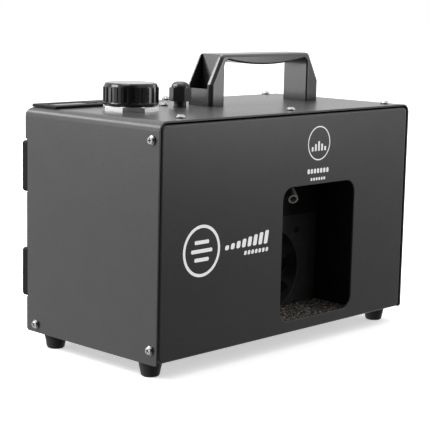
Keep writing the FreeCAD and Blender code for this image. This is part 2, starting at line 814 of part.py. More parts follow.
def feet():
    """Four tapered rubber feet, each held by one screw in a counterbore."""
    names = ["front_left_foot", "rear_left_foot", "front_right_foot", "rear_right_foot"]
    collar = chassis_low - 2.0
    for name, (x, y) in zip(names, foot_spots()):
        foot = body_of("foot")
        profile = polygon(
            (size["ScrewShank"], chassis_low),
            (FOOT_TOP_RADIUS, chassis_low),
            (FOOT_TOP_RADIUS, collar),
            (FOOT_TIP_RADIUS, 1.0),
            (FOOT_TIP_RADIUS - 0.9, 0),
            (FOOT_BORE, 0),
            (FOOT_BORE, FOOT_SEAT),
            (size["ScrewShank"], FOOT_SEAT),
        )
        turned(foot, "Revolution", profile)
        place(foot, x, y, 0)
        node(name, foot)


# ---------------------------------------------------------------- carry handle


def carry_handle():
    """The moulded strap handle: two hollow legs with sloping open ends, and a bellied grip bar."""
    handle = body_of("carry_handle")
    left, right = size["HandleLeft"], size["HandleRight"]
    height, knee = size["HandleHeight"], size["KneeHeight"]
    slope = 14.5
    near_y = front + size["HandleSetback"]
    far_y = near_y + size["HandleWidth"]
    add(
        handle,
        "XZ",
        near_y,
        far_y,
        polygon(
            (left, top),
            (right, top),
            (right, top + knee),
            (right - slope, top + height),
            (left + slope, top + height),
            (left, top + knee),
        ),
    )
    soften(
        handle,
        "Fillet",
        5.0,
        lambda low, high: near(low.z, top + height) and near(low.z, high.z) and near(low.x, high.x),
    )
    leg = 17.6
    grip_low = height - 5.2
    inside_left, inside_right = left + leg, right - leg
    remove(
        handle,
        "XZ",
        near_y,
        far_y,
        rounded(inside_left, top - 8, inside_right, top + grip_low, 6.0),
    )
    add_belly(handle, inside_left + 5, inside_right - 5, top + grip_low, near_y, far_y)
    soften(
        handle,
        "Fillet",
        3.4,
        lambda low, high: near(low.y, near_y) and near(high.y, near_y) and outer_edge(low, high),
    )
    soften(
        handle,
        "Fillet",
        1.6,
        lambda low, high: near(low.y, far_y) and near(high.y, far_y) and outer_edge(low, high),
    )
    soften(
        handle,
        "Fillet",
        1.6,
        lambda low, high: near(low.y, near_y) and near(high.y, near_y) and inner_edge(low, high),
    )
    wall, near_wall, end_panel = 2.2, 4.8, 15.7
    for sign, end in ((1, left), (-1, right)):
        pocket_ends = sorted((end + wall * sign, end + (leg - wall) * sign), key=lambda s: s.number)
        pocket = rectangle(pocket_ends[0], near_y + near_wall, pocket_ends[1], far_y - wall)
        remove(handle, "XY", top + HANDLE_FLOOR, top + height + 1, pocket)
        mouth_ends = sorted((end - 1.0 * sign, end + (leg - wall) * sign), key=lambda s: s.number)
        mouth = rectangle(mouth_ends[0], near_y + near_wall, mouth_ends[1], far_y - wall)
        remove(handle, "XY", top + end_panel, top + height + 1, mouth)
    holes = [circle(x, y, size["ScrewShank"]) for x, y in handle_screw_spots()]
    remove(handle, "XY", top - 1, top + HANDLE_FLOOR + 1, *holes)
    return node("carry_handle", handle)


def outer_edge(low, high):
    """True for the edges of the handle's outer outline: its top, its slopes and its two ends."""
    left, right = size["HandleLeft"].number, size["HandleRight"].number
    height = (top + size["HandleHeight"]).number
    upright = low.x < left + 15 and high.x < left + 15 or low.x > right - 15
    return upright and high.z > top.number + 0.1 or low.z > height - 5.1


def inner_edge(low, high):
    """True for the edges of the handle's opening: the two legs' inner sides and the grip's underside."""
    left, right = size["HandleLeft"].number, size["HandleRight"].number
    below_grip = high.z < (top + size["HandleHeight"]).number - 5
    return below_grip and low.x > left + 15 and high.x < right - 15


def add_belly(handle, left, right, level, near_y, far_y):
    """The grip's convex underside: a circular segment under the bar."""
    sag = 5.0
    chord = as_size(right) - left
    radius = chord * chord / (8 * sag) + sag / 2
    middle = (as_size(left) + right) / 2
    centre = level - sag + radius

    def draw(sketch):
        reach = radius.number
        swing = math.asin(chord.number / 2 / reach)
        ring = Part.Circle(flat_point(middle, centre), FreeCAD.Vector(0, 0, 1), reach)
        down = -math.pi / 2
        arc = sketch.addGeometry(Part.ArcOfCircle(ring, down - swing, down + swing))
        line = sketch.addGeometry(Part.LineSegment(flat_point(right, level), flat_point(left, level)))
        sketch.addConstraint(Sketcher.Constraint("Coincident", arc, 2, line, 1))
        sketch.addConstraint(Sketcher.Constraint("Coincident", line, 2, arc, 1))
        pin(sketch, line, 1, right, level)
        pin(sketch, line, 2, left, level)
        radius_rule(sketch, arc, radius)

    add(handle, "XZ", near_y, far_y, draw)


# ---------------------------------------------------------------- tank, cap and vent

NECK_RISE = 20.5
RIBS = 24
RIB_FOOT = 2.3
RIB_CREST = 1.3
VENT_THREAD = 5.0
VENT_NECK = 5.5


def fluid_tank():
    """The fluid tank: a hollow moulded box with a filler neck, a vent boss and a screw boss."""
    left, low, high = size["TankLeft"], size["TankLow"], size["TankHigh"]
    wall = size["TankWall"]
    shell = body_of("tank_shell")
    add(shell, "XY", low, high, rounded(left, tank_front, tank_right, tank_rear, 12.0))
    soften(shell, "Fillet", 6.0, lambda e_low, e_high: near(e_low.z, low) and near(e_high.z, low))
    hollow = body_of("tank_hollow")
    inside = rounded(left + wall, tank_front + wall, tank_right - wall, tank_rear - wall, 9.5)
    add(hollow, "XY", low + wall, high - wall, inside)
    inner_low = low + wall
    soften(
        hollow,
        "Fillet",
        4.0,
        lambda e_low, e_high: near(e_low.z, inner_low) and near(e_high.z, inner_low),
    )
    neck = size["NeckRadius"]
    screw_y = front + TANK_SCREW[1]
    seat = under_top - 2.0
    outside = fuse(
        shell,
        rod(neck + 8, size["CapX"], row_y, high - 1, seat - high + 1),
        rod(neck, size["CapX"], row_y, high, top + NECK_RISE - high),
        rod(10.0, size["VentX"], row_y, high - 1, under_top - high + 1),
        rod(4.5, TANK_SCREW[0], screw_y, high - 1, under_top - high + 1),
        rod(6.0, size["TankLeft"] + 12, service_y, low - 3, 4.0),
    )
    tank = cut(
        outside,
        hollow,
        rod(neck - 3, size["CapX"], row_y, high - 5, top + NECK_RISE - high + 10),
        rod(VENT_THREAD, size["VentX"], row_y, high - 5, 30.0),
        rod(size["ScrewShank"], TANK_SCREW[0], screw_y, under_top - SHANK_LENGTH, 20.0),
        rod(size["HoseRadius"], size["TankLeft"] + 12, service_y, low - 10, 20.0),
    )
    return node("fluid_tank", tank)


NUT_TURN = 53.6
VENT_TURN = 8.4


def filler():
    """What closes the filler neck: gasket, octagonal nut, fill cap and the cap's liner."""
    neck = size["NeckRadius"]
    gasket = body_of("tank_gasket")
    add(gasket, "XY", under_top - 2, under_top, circle(0, 0, neck + 8), circle(0, 0, neck))
    node("tank_gasket", place(gasket, size["CapX"], row_y, 0))
    nut = body_of("tank_nut")
    height = size["NutHeight"]
    add(nut, "XY", 0, height, regular(8, size["NutFlats"], NUT_TURN), circle(0, 0, neck))
    soften(nut, "Chamfer", 0.5, lambda low, high: near(low.z, height) and near(high.z, height))
    node("tank_nut", place(nut, size["CapX"], row_y, top))
    cap = body_of("fill_cap")
    radius, cap_height = size["CapRadius"], size["CapHeight"]
    bore = neck + size["FitGap"]
    neck_top = NECK_RISE - height
    liner = 1.6
    turned(
        cap,
        "Revolution",
        polygon(
            (0, neck_top + liner),
            (bore, neck_top + liner),
            (bore, 0),
            (radius - 2.4, 0),
            (radius - 0.9, 0.5),
            (radius - 0.2, 1.4),
            (radius, 2.6),
            (radius - 0.3, 3.4),
            (radius - 1.0, 3.8),
            (radius - 0.9, cap_height - 3.0),
            (radius - 1.5, cap_height - 1.2),
            (radius - 2.3, cap_height - 0.3),
            (radius - 3.2, cap_height),
            (radius - 5.0, cap_height - 0.1),
            (0, cap_height - 0.1),
        ),
    )
    rib = polygon(
        (radius - 2.0, -RIB_FOOT),
        (radius, -RIB_CREST),
        (radius, RIB_CREST),
        (radius - 2.0, RIB_FOOT),
    )
    first_rib = add(cap, "XY", 3.0, cap_height - 3.8, rib)
    repeat_round(cap, first_rib, RIBS)
    node("fill_cap", place(cap, size["CapX"], row_y, top + height))
    disc = body_of("cap_liner")
    add(disc, "XY", 0, liner, circle(0, 0, neck - 0.3))
    node("cap_liner", place(disc, size["CapX"], row_y, top + NECK_RISE))


def vent():
    """The tank's breather: a threaded body, a dome nut with a hexagon on top of it."""
    thread = VENT_THREAD
    stem = body_of("vent_body")
    turned(
        stem,
        "Revolution",
        polygon(
            (1.5, -14),
            (thread, -14),
            (thread, 0),
            (VENT_NECK + 0.3, 0),
            (VENT_NECK + 0.3, 1.4),
            (VENT_NECK, 1.8),
            (VENT_NECK, 5.5),
            (4.0, 5.5),
            (4.0, 12),
            (1.5, 12),
        ),
    )
    node("vent_body", place(stem, size["VentX"], row_y, top))
    dome = body_of("vent_dome_nut")
    hex_low, hex_high, dome_top = 5.5, 17.5, 23.1
    add(dome, "XY", hex_low, hex_high, regular(6, size["VentHex"], 30.0))
    soften(dome, "Fillet", 0.7, lambda low, high: near(low.x, high.x) and near(low.y, high.y))
    turned(
        dome,
        "Revolution",
        polygon(
            (0, hex_high),
            (8.3, hex_high),
            (8.1, hex_high + 1.6),
            (7.2, hex_high + 3.3),
            (5.7, hex_high + 4.6),
            (3.6, dome_top - 0.25),
            (0, dome_top),
        ),
    )
    turned(dome, "Groove", rectangle(0, hex_low, 4.0, 12))
    place(dome, size["VentX"], row_y, top, "z", VENT_TURN)
    node("vent_dome_nut", dome)


# ---------------------------------------------------------------- control panel

BUTTON_SPOTS = [58.0, 68.5, 79.0, 89.5]
BUTTON_NAMES = ["menu", "up", "down", "enter"]
BUTTON_TRAVEL = 0.6
BUTTON_RIM = 0.8


def control_panel():
    """The control panel on the rear left of the top: bezel, window, display, board and buttons."""
    left, length = size["BezelLeft"], size["BezelLength"]
    low_y = rear - 1 - size["BezelDepth"]
    high_y = rear - 1
    middle_y = (low_y + high_y) / 2
    face = top + size["BezelThick"]
    bezel = body_of("control_bezel")
    add(bezel, "XY", top, face, rounded(left, low_y, left + length, high_y, 3.0))
    soften(bezel, "Chamfer", 0.5, lambda low, high: near(low.z, face) and near(high.z, face))
    window = (left + 8, middle_y - 8, left + 48, middle_y + 8)
    remove(bezel, "XY", top, face, rounded(*window, 1.5))
    clear = size["ButtonRadius"] + 0.1
    holes = [circle(left + x, middle_y, clear) for x in BUTTON_SPOTS]
    remove(bezel, "XY", top, face, *holes)
    node("control_bezel", bezel)
    pane = body_of("display_window")
    add(pane, "XY", top, face - 0.4, rounded(*window, 1.5))
    node("display_window", pane)
    board_top = under_top - 9.0
    module = body_of("display_module")
    add(
        module,
        "XY",
        board_top,
        top - 0.5,
        rectangle(left + 7, middle_y - 8.5, left + 49, middle_y + 8.5),
    )
    node("display_module", module)
    board = body_of("control_board")
    board_edge = BEZEL_SLOT_EDGE + 1.0
    add(
        board,
        "XY",
        board_top - 1.6,
        board_top,
        rectangle(left + board_edge, low_y + board_edge, left + length - board_edge, high_y - board_edge),
    )
    for x in BUTTON_SPOTS:
        switch = rectangle(left + x - 3, middle_y - 3, left + x + 3, middle_y + 3)
        add(board, "XY", board_top, board_top + 3.5, switch)
        plunger = circle(left + x, middle_y, 1.7)
        add(board, "XY", board_top + 3.5, board_top + 4.3, plunger)
    pads = [circle(left + 52, middle_y - 6, 2.0), circle(left + 52, middle_y + 6, 2.0)]
    add(board, "XY", board_top, under_top, *pads)
    node("control_board", board)
    for x, name in zip(BUTTON_SPOTS, BUTTON_NAMES):
        button = body_of("button")
        radius = size["ButtonRadius"]
        stem_low = board_top + 4.3 + BUTTON_TRAVEL
        turned(
            button,
            "Revolution",
            polygon(
                (0, stem_low),
                (1.7, stem_low),
                (1.7, top - 2.0),
                (radius + BUTTON_RIM, top - 2.0),
                (radius + BUTTON_RIM, top - 0.8),
                (radius, top - 0.8),
                (radius, face + 0.5),
                (radius - 0.5, face + 1.0),
                (0, face + 1.0),
            ),
        )
        node(name + "_button", place(button, left + x, middle_y, 0))


# ---------------------------------------------------------------- fan and outlet chamber

FAN_BLADES = 7
HOOD_LEFT = -18.0
HOOD_RIGHT = 102.0
HOOD_TOP = 151.7
FAN_SHAFT = 1.5


def fan():
    """The axial fan: mounting plate, frame with its motor post, rotor and wire guard."""
    x, z = size["FanX"], size["FanZ"]
    bore, side = size["FanBore"], size["FanSide"]
    corners = [(x + FAN_HOLE * i, z + FAN_HOLE * k) for i in (-1, 1) for k in (-1, 1)]
    plate = body_of("fan_plate")
    left, right = HOOD_LEFT + inner, HOOD_RIGHT - inner
    add(plate, "XZ", plate_y, fan_y, rectangle(left, floor, right, size["PlateHigh"]))
    add(plate, "XZ", plate_y - 12, plate_y, rectangle(left, floor, right, floor + inner))
    holes = [circle(*corner, SMALL_SHANK) for corner in corners]
    remove(plate, "XZ", plate_y, fan_y, circle(x, z, bore), *holes)
    soften(plate, "Fillet", 0.5, lambda low, high: near(high.y, plate_y) and round_as(bore, low, high))
    node("fan_plate", plate)
    frame = body_of("fan_frame")
    end = size["FanThick"]
    half_side = side / 2
    square = rounded(x - half_side, z - half_side, x + half_side, z + half_side, 4.0)
    add(frame, "XZ", fan_y, fan_y + end, square)
    remove(frame, "XZ", fan_y, fan_y + end, circle(x, z, bore))
    post = 17.0
    shaft = FAN_SHAFT + size["FitGap"]
    add(frame, "XZ", fan_y + end - 4, fan_y + end, circle(x, z, post))
    arm = 2.5
    reach = bore + 0.5
    for across, up in ((reach, arm), (arm, reach)):
        arms = rectangle(x - across, z - up, x + across, z + up)
        add(frame, "XZ", fan_y + end - 3, fan_y + end, arms)
    remove(frame, "XZ", fan_y + end - 4, fan_y + end - 1, circle(x, z, shaft))
    remove(frame, "XZ", fan_y, fan_y + end, *[circle(*corner, SMALL_SHANK) for corner in corners])
    node("fan_frame", frame)
    fan_rotor(x, z)
    fan_guard(x, z)


def round_as(radius, low, high):
    """True for a full circle of a radius that lies across Y."""
    across, up = high.x - low.x, high.z - low.z
    return abs(across - up) < 0.05 and abs(across - 2 * radius.number) < 0.5


def fan_rotor(x, z):
    """The rotor: a cupped hub with a shaft and pitched blades, turned about the fan's axis."""
    bore = size["FanBore"].number
    depth = size["FanThick"].number - 5.0
    hub_radius, tip = 17.0, bore - 1.0
    root = hub_radius - 4.0
    rotor = body_of("fan_rotor")
    turned(
        rotor,
        "Revolution",
        polygon(
            (0, 0.6),
            (hub_radius - 2, 0.6),
            (hub_radius, 2.6),
            (hub_radius, depth),
            (FAN_SHAFT, depth),
            (FAN_SHAFT, depth + 3.0),
            (0, depth + 3.0),
        ),
    )
    blade_sections = []
    for reach, pitch in ((root, 50.0), (tip + 2.0, 28.0)):
        run = (depth - 3.0) / math.tan(math.radians(pitch)) / 2
        blade_sections.append((reach, min(run, 14.0)))
    blades = [blade_solid(blade_sections, depth, 360.0 * k / FAN_BLADES) for k in range(FAN_BLADES)]
    vanes = doc.addObject("Part::Feature", "fan_blades")
    vanes.Shape = Part.makeCompound(blades).common(Part.makeCylinder(tip, depth))
    whole = fuse(rotor, vanes)
    node("fan_rotor", place(whole, x, fan_y, z, "y"))


def blade_solid(sections, depth, angle):
    """One fan blade: a thin twisted sheet ruled between its root and its tip."""
    thickness = 1.3
    rails = []
    for reach, run in sections:
        low, high = 3.4, depth - 1.0
        corners = [(-run, low), (-run + thickness, low), (run, high), (run - thickness, high)]
        points = [FreeCAD.Vector(reach, across, along) for across, along in corners]
        rails.append(Part.makePolygon(points + points[:1]))
    blade = Part.makeLoft(rails, True, True)
    blade.rotate(FreeCAD.Vector(), FreeCAD.Vector(0, 0, 1), angle)
    return blade


def fan_guard(x, z):
    """The wire guard over the fan's rear: rings joined by two crossed bars and four eyes."""
    wire = 1.0
    level = fan_y + size["FanThick"] + wire
    pieces = []
    for radius in (10.0, 19.0, 28.0, 37.0):
        ring = doc.addObject("Part::Torus", "ring")
        ring.Radius1 = radius
        ring.Radius2 = wire
        pieces.append(place(ring, x, level, z, "y"))
    reach = 35.75 * math.sqrt(2)
    for angle in (45, 135):
        bar = doc.addObject("Part::Cylinder", "bar")
        bar.Radius = wire
        bar.Height = 2 * reach
        lean = FreeCAD.Rotation(FreeCAD.Vector(0, 1, 0), angle)
        start = lean.multVec(FreeCAD.Vector(0, 0, -reach))
        place(bar, x + start.x, level, z + start.z)
        bar.Placement = FreeCAD.Placement(bar.Placement.Base, lean)
        pieces.append(bar)
    node("fan_guard", fuse(*pieces))


def outlet_chamber():
    """The chamber behind the outlet: a bent hood over it and the drip foam on its floor."""
    hood = body_of("outlet_hood")
    near_y = front + thick
    add(hood, "XZ", near_y, plate_y, rectangle(HOOD_LEFT, floor, HOOD_RIGHT, HOOD_TOP))
    inside = rectangle(HOOD_LEFT + inner, floor - 1, HOOD_RIGHT - inner, HOOD_TOP - inner)
    remove(hood, "XZ", near_y, plate_y - inner, inside)
    below_wall = rectangle(HOOD_LEFT + inner, floor - 1, HOOD_RIGHT - inner, size["PlateHigh"] - 4)
    remove(hood, "XZ", plate_y - inner, plate_y, below_wall)
    nozzle_hole = circle(NOZZLE_X, NOZZLE_Z, NOZZLE_RADIUS + 0.8)
    remove(hood, "XZ", plate_y - inner, plate_y, nozzle_hole)
    node("outlet_hood", hood)
    foam = body_of("drip_foam")
    foam_low = floor + inner
    outline = rectangle(HOOD_LEFT + 1.6, near_y + 0.4, HOOD_RIGHT - 1.6, plate_y - 2.4)
    add(foam, "XY", foam_low, base + 9.2, outline)
    node("drip_foam", foam)


# ---------------------------------------------------------------- heater

HEATER_LEFT = -14.0
BRACKET_LEFT = -24.0
BRACKET_RIGHT = 96.0
NOZZLE_X = 44.5
NOZZLE_Z = 137.0
NOZZLE_TIP = (36.0, 31.3, 129.5)
NOZZLE_BEND_SETBACK = 44.3
NOZZLE_RADIUS = 4.7
NOZZLE_BORE = 3.1


def heater():
    """The heater: aluminium block, insulation sleeve, bracket, thermostat and outlet nozzle."""
    low_y = service_y - size["HeaterDepth"] / 2
    high_y = service_y + size["HeaterDepth"] / 2
    low_z = size["HeaterZ"] - size["HeaterHeight"] / 2
    high_z = size["HeaterZ"] + size["HeaterHeight"] / 2
    right = HEATER_LEFT + size["HeaterLength"]
    wrap = size["WrapThick"]
    block_body = body_of("heater_block")
    add(block_body, "YZ", HEATER_LEFT, right, rounded(low_y, low_z, high_y, high_z, 3.0))
    hose_hole = circle(service_y, size["HeaterZ"], size["HoseRadius"])
    remove(block_body, "YZ", HEATER_LEFT, HEATER_LEFT + 8, hose_hole)
    remove(block_body, "XZ", low_y, low_y + 5, circle(NOZZLE_X, NOZZLE_Z, NOZZLE_RADIUS))
    rods = [circle(service_y - 13, size["HeaterZ"], 4.0), circle(service_y + 13, size["HeaterZ"], 4.0)]
    remove(block_body, "YZ", right - 30, right, *rods)
    node("heater_block", block_body)
    sleeve = body_of("heater_insulation")
    outer = rounded(low_y - wrap, low_z - wrap, high_y + wrap, high_z + wrap, 6.0)
    hollow = rounded(low_y, low_z, high_y, high_z, 3.0)
    add(sleeve, "YZ", HEATER_LEFT + 6, right - 6, outer, hollow)
    remove(sleeve, "XZ", low_y - wrap - 1, low_y, circle(NOZZLE_X, NOZZLE_Z, NOZZLE_RADIUS + 0.5))
    remove(sleeve, "XY", high_z, high_z + wrap + 1, circle(size["FanX"] + 24, service_y, 9.0))
    node("heater_insulation", sleeve)
    bracket = body_of("heater_bracket")
    shelf = low_z - wrap
    add(
        bracket,
        "XZ",
        low_y,
        high_y,
        polygon(
            (BRACKET_LEFT, floor),
            (BRACKET_LEFT + 12, floor),
            (BRACKET_LEFT + 12, floor + inner),
            (BRACKET_LEFT + inner, floor + inner),
            (BRACKET_LEFT + inner, shelf - inner),
            (BRACKET_RIGHT - inner, shelf - inner),
            (BRACKET_RIGHT - inner, floor + inner),
            (BRACKET_RIGHT - 12, floor + inner),
            (BRACKET_RIGHT - 12, floor),
            (BRACKET_RIGHT, floor),
            (BRACKET_RIGHT, shelf),
            (BRACKET_LEFT, shelf),
        ),
    )
    node("heater_bracket", bracket)
    stat = body_of("thermostat")
    turned(stat, "Revolution", polygon((0, 0), (8.0, 0), (8.0, 5.0), (6.5, 5.0), (6.5, 9.0), (0, 9.0)))
    add(stat, "XY", 9.0, 15.0, rectangle(-5.5, -2.5, -4.7, 2.5), rectangle(4.7, -2.5, 5.5, 2.5))
    node("thermostat", place(stat, size["FanX"] + 24, service_y, high_z))
    outlet_nozzle(low_y)


def outlet_nozzle(start_y):
    """The nozzle: a steel tube out of the heater, bent down and to the left in front of the fan."""
    start = FreeCAD.Vector(NOZZLE_X, start_y.number + 5, NOZZLE_Z)
    elbow = FreeCAD.Vector(NOZZLE_X, front.number + NOZZLE_BEND_SETBACK, NOZZLE_Z)
    tip_x, tip_setback, tip_z = NOZZLE_TIP
    tip = FreeCAD.Vector(tip_x, front.number + tip_setback, tip_z)
    beyond = tip + (tip - elbow) * 0.2
    tube = hose("nozzle_tube", NOZZLE_RADIUS, [start, elbow, tip], 12.0)
    bore = hose("nozzle_bore", NOZZLE_BORE, [start - FreeCAD.Vector(0, 4, 0), elbow, beyond], 12.0)
    del nodes["nozzle_tube"], nodes["nozzle_bore"]
    node("outlet_nozzle", cut(tube, bore))


# ---------------------------------------------------------------- pump, shelf and hoses

PUMP_LEFT = -118.0
PUMP_LENGTH = 52.0
NIPPLE = 12.0
PISTON_RADIUS = 6.0
SHELF_LEG = 1.5


def pump():
    """The piston pump: housing with two nipples, its piston and the bracket it stands in."""
    level = size["PumpZ"]
    housing = body_of("pump_housing")
    radius = size["PumpRadius"]
    hose_bore = 1.5
    turned(
        housing,
        "Revolution",
        polygon(
            (hose_bore, -NIPPLE),
            (size["HoseRadius"], -NIPPLE),
            (size["HoseRadius"], 0),
            (radius - 3, 0),
            (radius - 3, 6),
            (radius, 6),
            (radius, PUMP_LENGTH - 6),
            (radius - 3, PUMP_LENGTH - 6),
            (radius - 3, PUMP_LENGTH),
            (size["HoseRadius"], PUMP_LENGTH),
            (size["HoseRadius"], PUMP_LENGTH + NIPPLE),
            (hose_bore, PUMP_LENGTH + NIPPLE),
            (hose_bore, PUMP_LENGTH - 10),
            (PISTON_RADIUS + size["FitGap"], PUMP_LENGTH - 10),
            (PISTON_RADIUS + size["FitGap"], 10),
            (hose_bore, 10),
        ),
    )
    node("pump_housing", place(housing, PUMP_LEFT, service_y, level, "x"))
    piston = body_of("pump_piston")
    add(piston, "XY", 12.0, PUMP_LENGTH - 16, circle(0, 0, PISTON_RADIUS), circle(0, 0, 2.0))
    node("pump_piston", place(piston, PUMP_LEFT, service_y, level, "x"))
    bracket = body_of("pump_bracket")
    arm = radius + 4
    start, end = PUMP_LEFT + 18, PUMP_LEFT + 34
    add(bracket, "YZ", start, end, rectangle(service_y - arm, floor, service_y + arm, level))
    remove(bracket, "YZ", start, end, circle(service_y, level, radius))
    node("pump_bracket", bracket)


def tank_shelf():
    """The shelf under the tank: a bent sheet on two legs, with holes for the hoses."""
    shelf = body_of("tank_shelf")
    left, right = size["TankLeft"] - 2, tank_right + 3
    low, high = tank_front + 6, tank_rear - 6
    level = size["TankLow"]
    add(
        shelf,
        "XZ",
        low,
        high,
        polygon(
            (left, floor),
            (left + SHELF_LEG, floor),
            (left + SHELF_LEG, level - SHELF_LEG),
            (right - SHELF_LEG, level - SHELF_LEG),
            (right - SHELF_LEG, floor),
            (right, floor),
            (right, level),
            (left, level),
        ),
    )
    remove(shelf, "XY", level - SHELF_LEG, level, circle(size["TankLeft"] + 12, service_y, 6.5))
    remove(shelf, "YZ", right - SHELF_LEG, right, circle(service_y, size["PumpZ"] + 1.5, 6.5))
    node("tank_shelf", shelf)


def hoses():
    """The two fluid hoses: tank to pump, and pump to heater."""
    level = size["PumpZ"]
    tank_x = size["TankLeft"] + 12
    pump_right = PUMP_LEFT + PUMP_LENGTH + NIPPLE
    riser = (tank_right + BRACKET_LEFT) / 2 + 1.5
    down = [
        (tank_x, service_y, size["TankLow"] - 3),
        (tank_x, service_y, level),
        (PUMP_LEFT - NIPPLE, service_y, level),
    ]
    hose("suction_hose", size["HoseRadius"], down, 13.0)
    up = [
        (pump_right, service_y, level),
        (riser, service_y, level),
        (riser, service_y, size["HeaterZ"]),
        (HEATER_LEFT, service_y, size["HeaterZ"]),
    ]
    hose("pressure_hose", size["HoseRadius"], up, 12.0)


# ---------------------------------------------------------------- sockets, switch and boards


ROCKER_LEAN = 8.0


def power_entry():
    """The mains inlet with its fuse drawer, and the rocker switch above it."""
    face = chassis_rear
    inlet = body_of("power_inlet")
    add(inlet, "XZ", face, face + 3, rounded(INLET_X - 17, INLET_Z - 21, INLET_X + 17, INLET_Z + 21, 2.0))
    add(inlet, "XZ", face - 22, face, rectangle(INLET_X - 14, INLET_Z - 18, INLET_X + 14, INLET_Z + 18))
    low, high = INLET_Z - 16, INLET_Z + 1
    socket = polygon(
        (INLET_X - 12.2, low),
        (INLET_X + 12.2, low),
        (INLET_X + 12.2, high - 4),
        (INLET_X + 8.2, high),
        (INLET_X - 8.2, high),
        (INLET_X - 12.2, high - 4),
    )
    remove(inlet, "XZ", face - 15, face + 3, socket)
    blades = []
    for x, z in ((-7.0, -9.5), (7.0, -9.5), (0.0, -5.5)):
        blades.append(rectangle(INLET_X + x - 1, INLET_Z + z - 2, INLET_X + x + 1, INLET_Z + z + 2))
    add(inlet, "XZ", face - 15, face - 1, *blades)
    drawer_room = rectangle(INLET_X - 12, INLET_Z + 5, INLET_X + 12, INLET_Z + 15)
    remove(inlet, "XZ", face - 20, face + 3, drawer_room)
    node("power_inlet", inlet)
    gap = 0.1
    drawer = body_of("fuse_drawer")
    front_face = rectangle(INLET_X - 12 + gap, INLET_Z + 5 + gap, INLET_X + 12 - gap, INLET_Z + 15 - gap)
    add(drawer, "XZ", face - 19.5, face + 3.6, front_face)
    tray = rectangle(INLET_X - 10, INLET_Z + 8, INLET_X + 10, INLET_Z + 16)
    remove(drawer, "XZ", face - 18, face + 0.5, tray)
    grip = rectangle(INLET_X - 4, INLET_Z + 4, INLET_X + 4, INLET_Z + 7.2)
    remove(drawer, "XZ", face + 2.2, face + 3.6, grip)
    node("fuse_drawer", drawer)
    switch = body_of("power_switch")
    rim = rounded(INLET_X - 7.5, SWITCH_Z - 10.5, INLET_X + 7.5, SWITCH_Z + 10.5, 1.5)
    casing = rectangle(INLET_X - 6.5, SWITCH_Z - 9.5, INLET_X + 6.5, SWITCH_Z + 9.5)
    well = rectangle(INLET_X - 5.5, SWITCH_Z - 8.7, INLET_X + 5.5, SWITCH_Z + 8.7)
    add(switch, "XZ", face, face + 1.6, rim)
    add(switch, "XZ", face - 14, face, casing)
    remove(switch, "XZ", face - 9, face + 1.6, well)
    node("power_switch", switch)
    rocker = body_of("power_rocker")
    paddle = polygon((-8.0, 0.6), (-1.2, -5.6), (1.2, -5.6), (8.0, 0.6), (8.2, 2.4), (0, 1.0), (-8.2, 2.4))
    add(rocker, "YZ", -5.3, 5.3, paddle)
    add(rocker, "YZ", -5.45, 5.45, circle(0, 0, 0.9))
    place(rocker, INLET_X, face, SWITCH_Z)
    lean = FreeCAD.Rotation(FreeCAD.Vector(1, 0, 0), ROCKER_LEAN - 90)
    rocker.Placement = FreeCAD.Placement(rocker.Placement.Base, lean)
    node("power_rocker", rocker)


def data_sockets():
    """The round control sockets: one with pins, one with holes and a push latch."""
    face = chassis_rear
    for name, x, has_pins in (("dmx_input", DMX_IN_X, True), ("dmx_output", DMX_OUT_X, False)):
        socket = body_of(name)
        flange = rounded(x - 13, DMX_Z - 15.5, x + 13, DMX_Z + 15.5, 2.5)
        add(socket, "XZ", face, face + DMX_FLANGE, flange)
        add(socket, "XZ", face - 22, face, circle(x, DMX_Z, DMX_SHELL))
        screw_holes = [circle(x + 9.5 * side, DMX_Z + 12.0 * side, SMALL_SHANK) for side in (-1, 1)]
        remove(socket, "XZ", face, face + DMX_FLANGE, *screw_holes)
        contacts = []
        for angle in (30, 150, 270):
            lean = math.radians(angle)
            reach = 1.2 if has_pins else 1.4
            contacts.append(circle(x + 5.4 * math.cos(lean), DMX_Z + 5.4 * math.sin(lean), reach))
        if has_pins:
            remove(socket, "XZ", face - 16, face + DMX_FLANGE, circle(x, DMX_Z, 9.6))
            add(socket, "XZ", face - 16, face - 3, *contacts)
        else:
            remove(socket, "XZ", face - 16, face + DMX_FLANGE, circle(x, DMX_Z, 9.6), circle(x, DMX_Z, 8.0))
            remove(socket, "XZ", face - 12, face + DMX_FLANGE, *contacts)
            slot = rectangle(x - 3.1, DMX_Z + 10.0, x + 3.1, DMX_Z + 14.2)
            remove(socket, "XZ", face - 5, face + DMX_FLANGE, slot)
        node(name, socket)
    latch = body_of("dmx_latch")
    tab = rounded(DMX_OUT_X - 3.0, DMX_Z + 10.8, DMX_OUT_X + 3.0, DMX_Z + 14.1, 1.0)
    add(latch, "XZ", face - 2, face + 4.0, tab)
    node("dmx_latch", latch)


def power_board():
    """The power supply board on four standoffs, with its transformer, relay and capacitors."""
    left, right = 106.0, 158.0
    low, high = -10.0, 66.0
    level = floor + 8
    board = body_of("power_board")
    add(board, "XY", level, level + 1.6, rectangle(left, low, right, high))
    parts = [
        (rectangle(112, -4, 142, 22), 28.0),
        (rectangle(146, 2, 156, 22), 16.0),
        (circle(118, 36, 8.0), 26.0),
        (circle(138, 36, 6.3), 21.0),
        (rectangle(112, 50, 134, 62), 12.0),
        (rectangle(140, 48, 154, 62), 20.0),
    ]
    for outline, rise in parts:
        add(board, "XY", level + 1.6, level + 1.6 + rise, outline)
    corners = [(x, y) for x in (left + 3.5, right - 3.5) for y in (low + 3.5, high - 3.5)]
    node("power_board", board)
    post = body_of("standoff")
    add(post, "XY", 0, 8, regular(6, 5.5))
    copies("board_standoffs", post, [(x, y, floor, "z", 0) for x, y in corners])


# ---------------------------------------------------------------- build, check and export


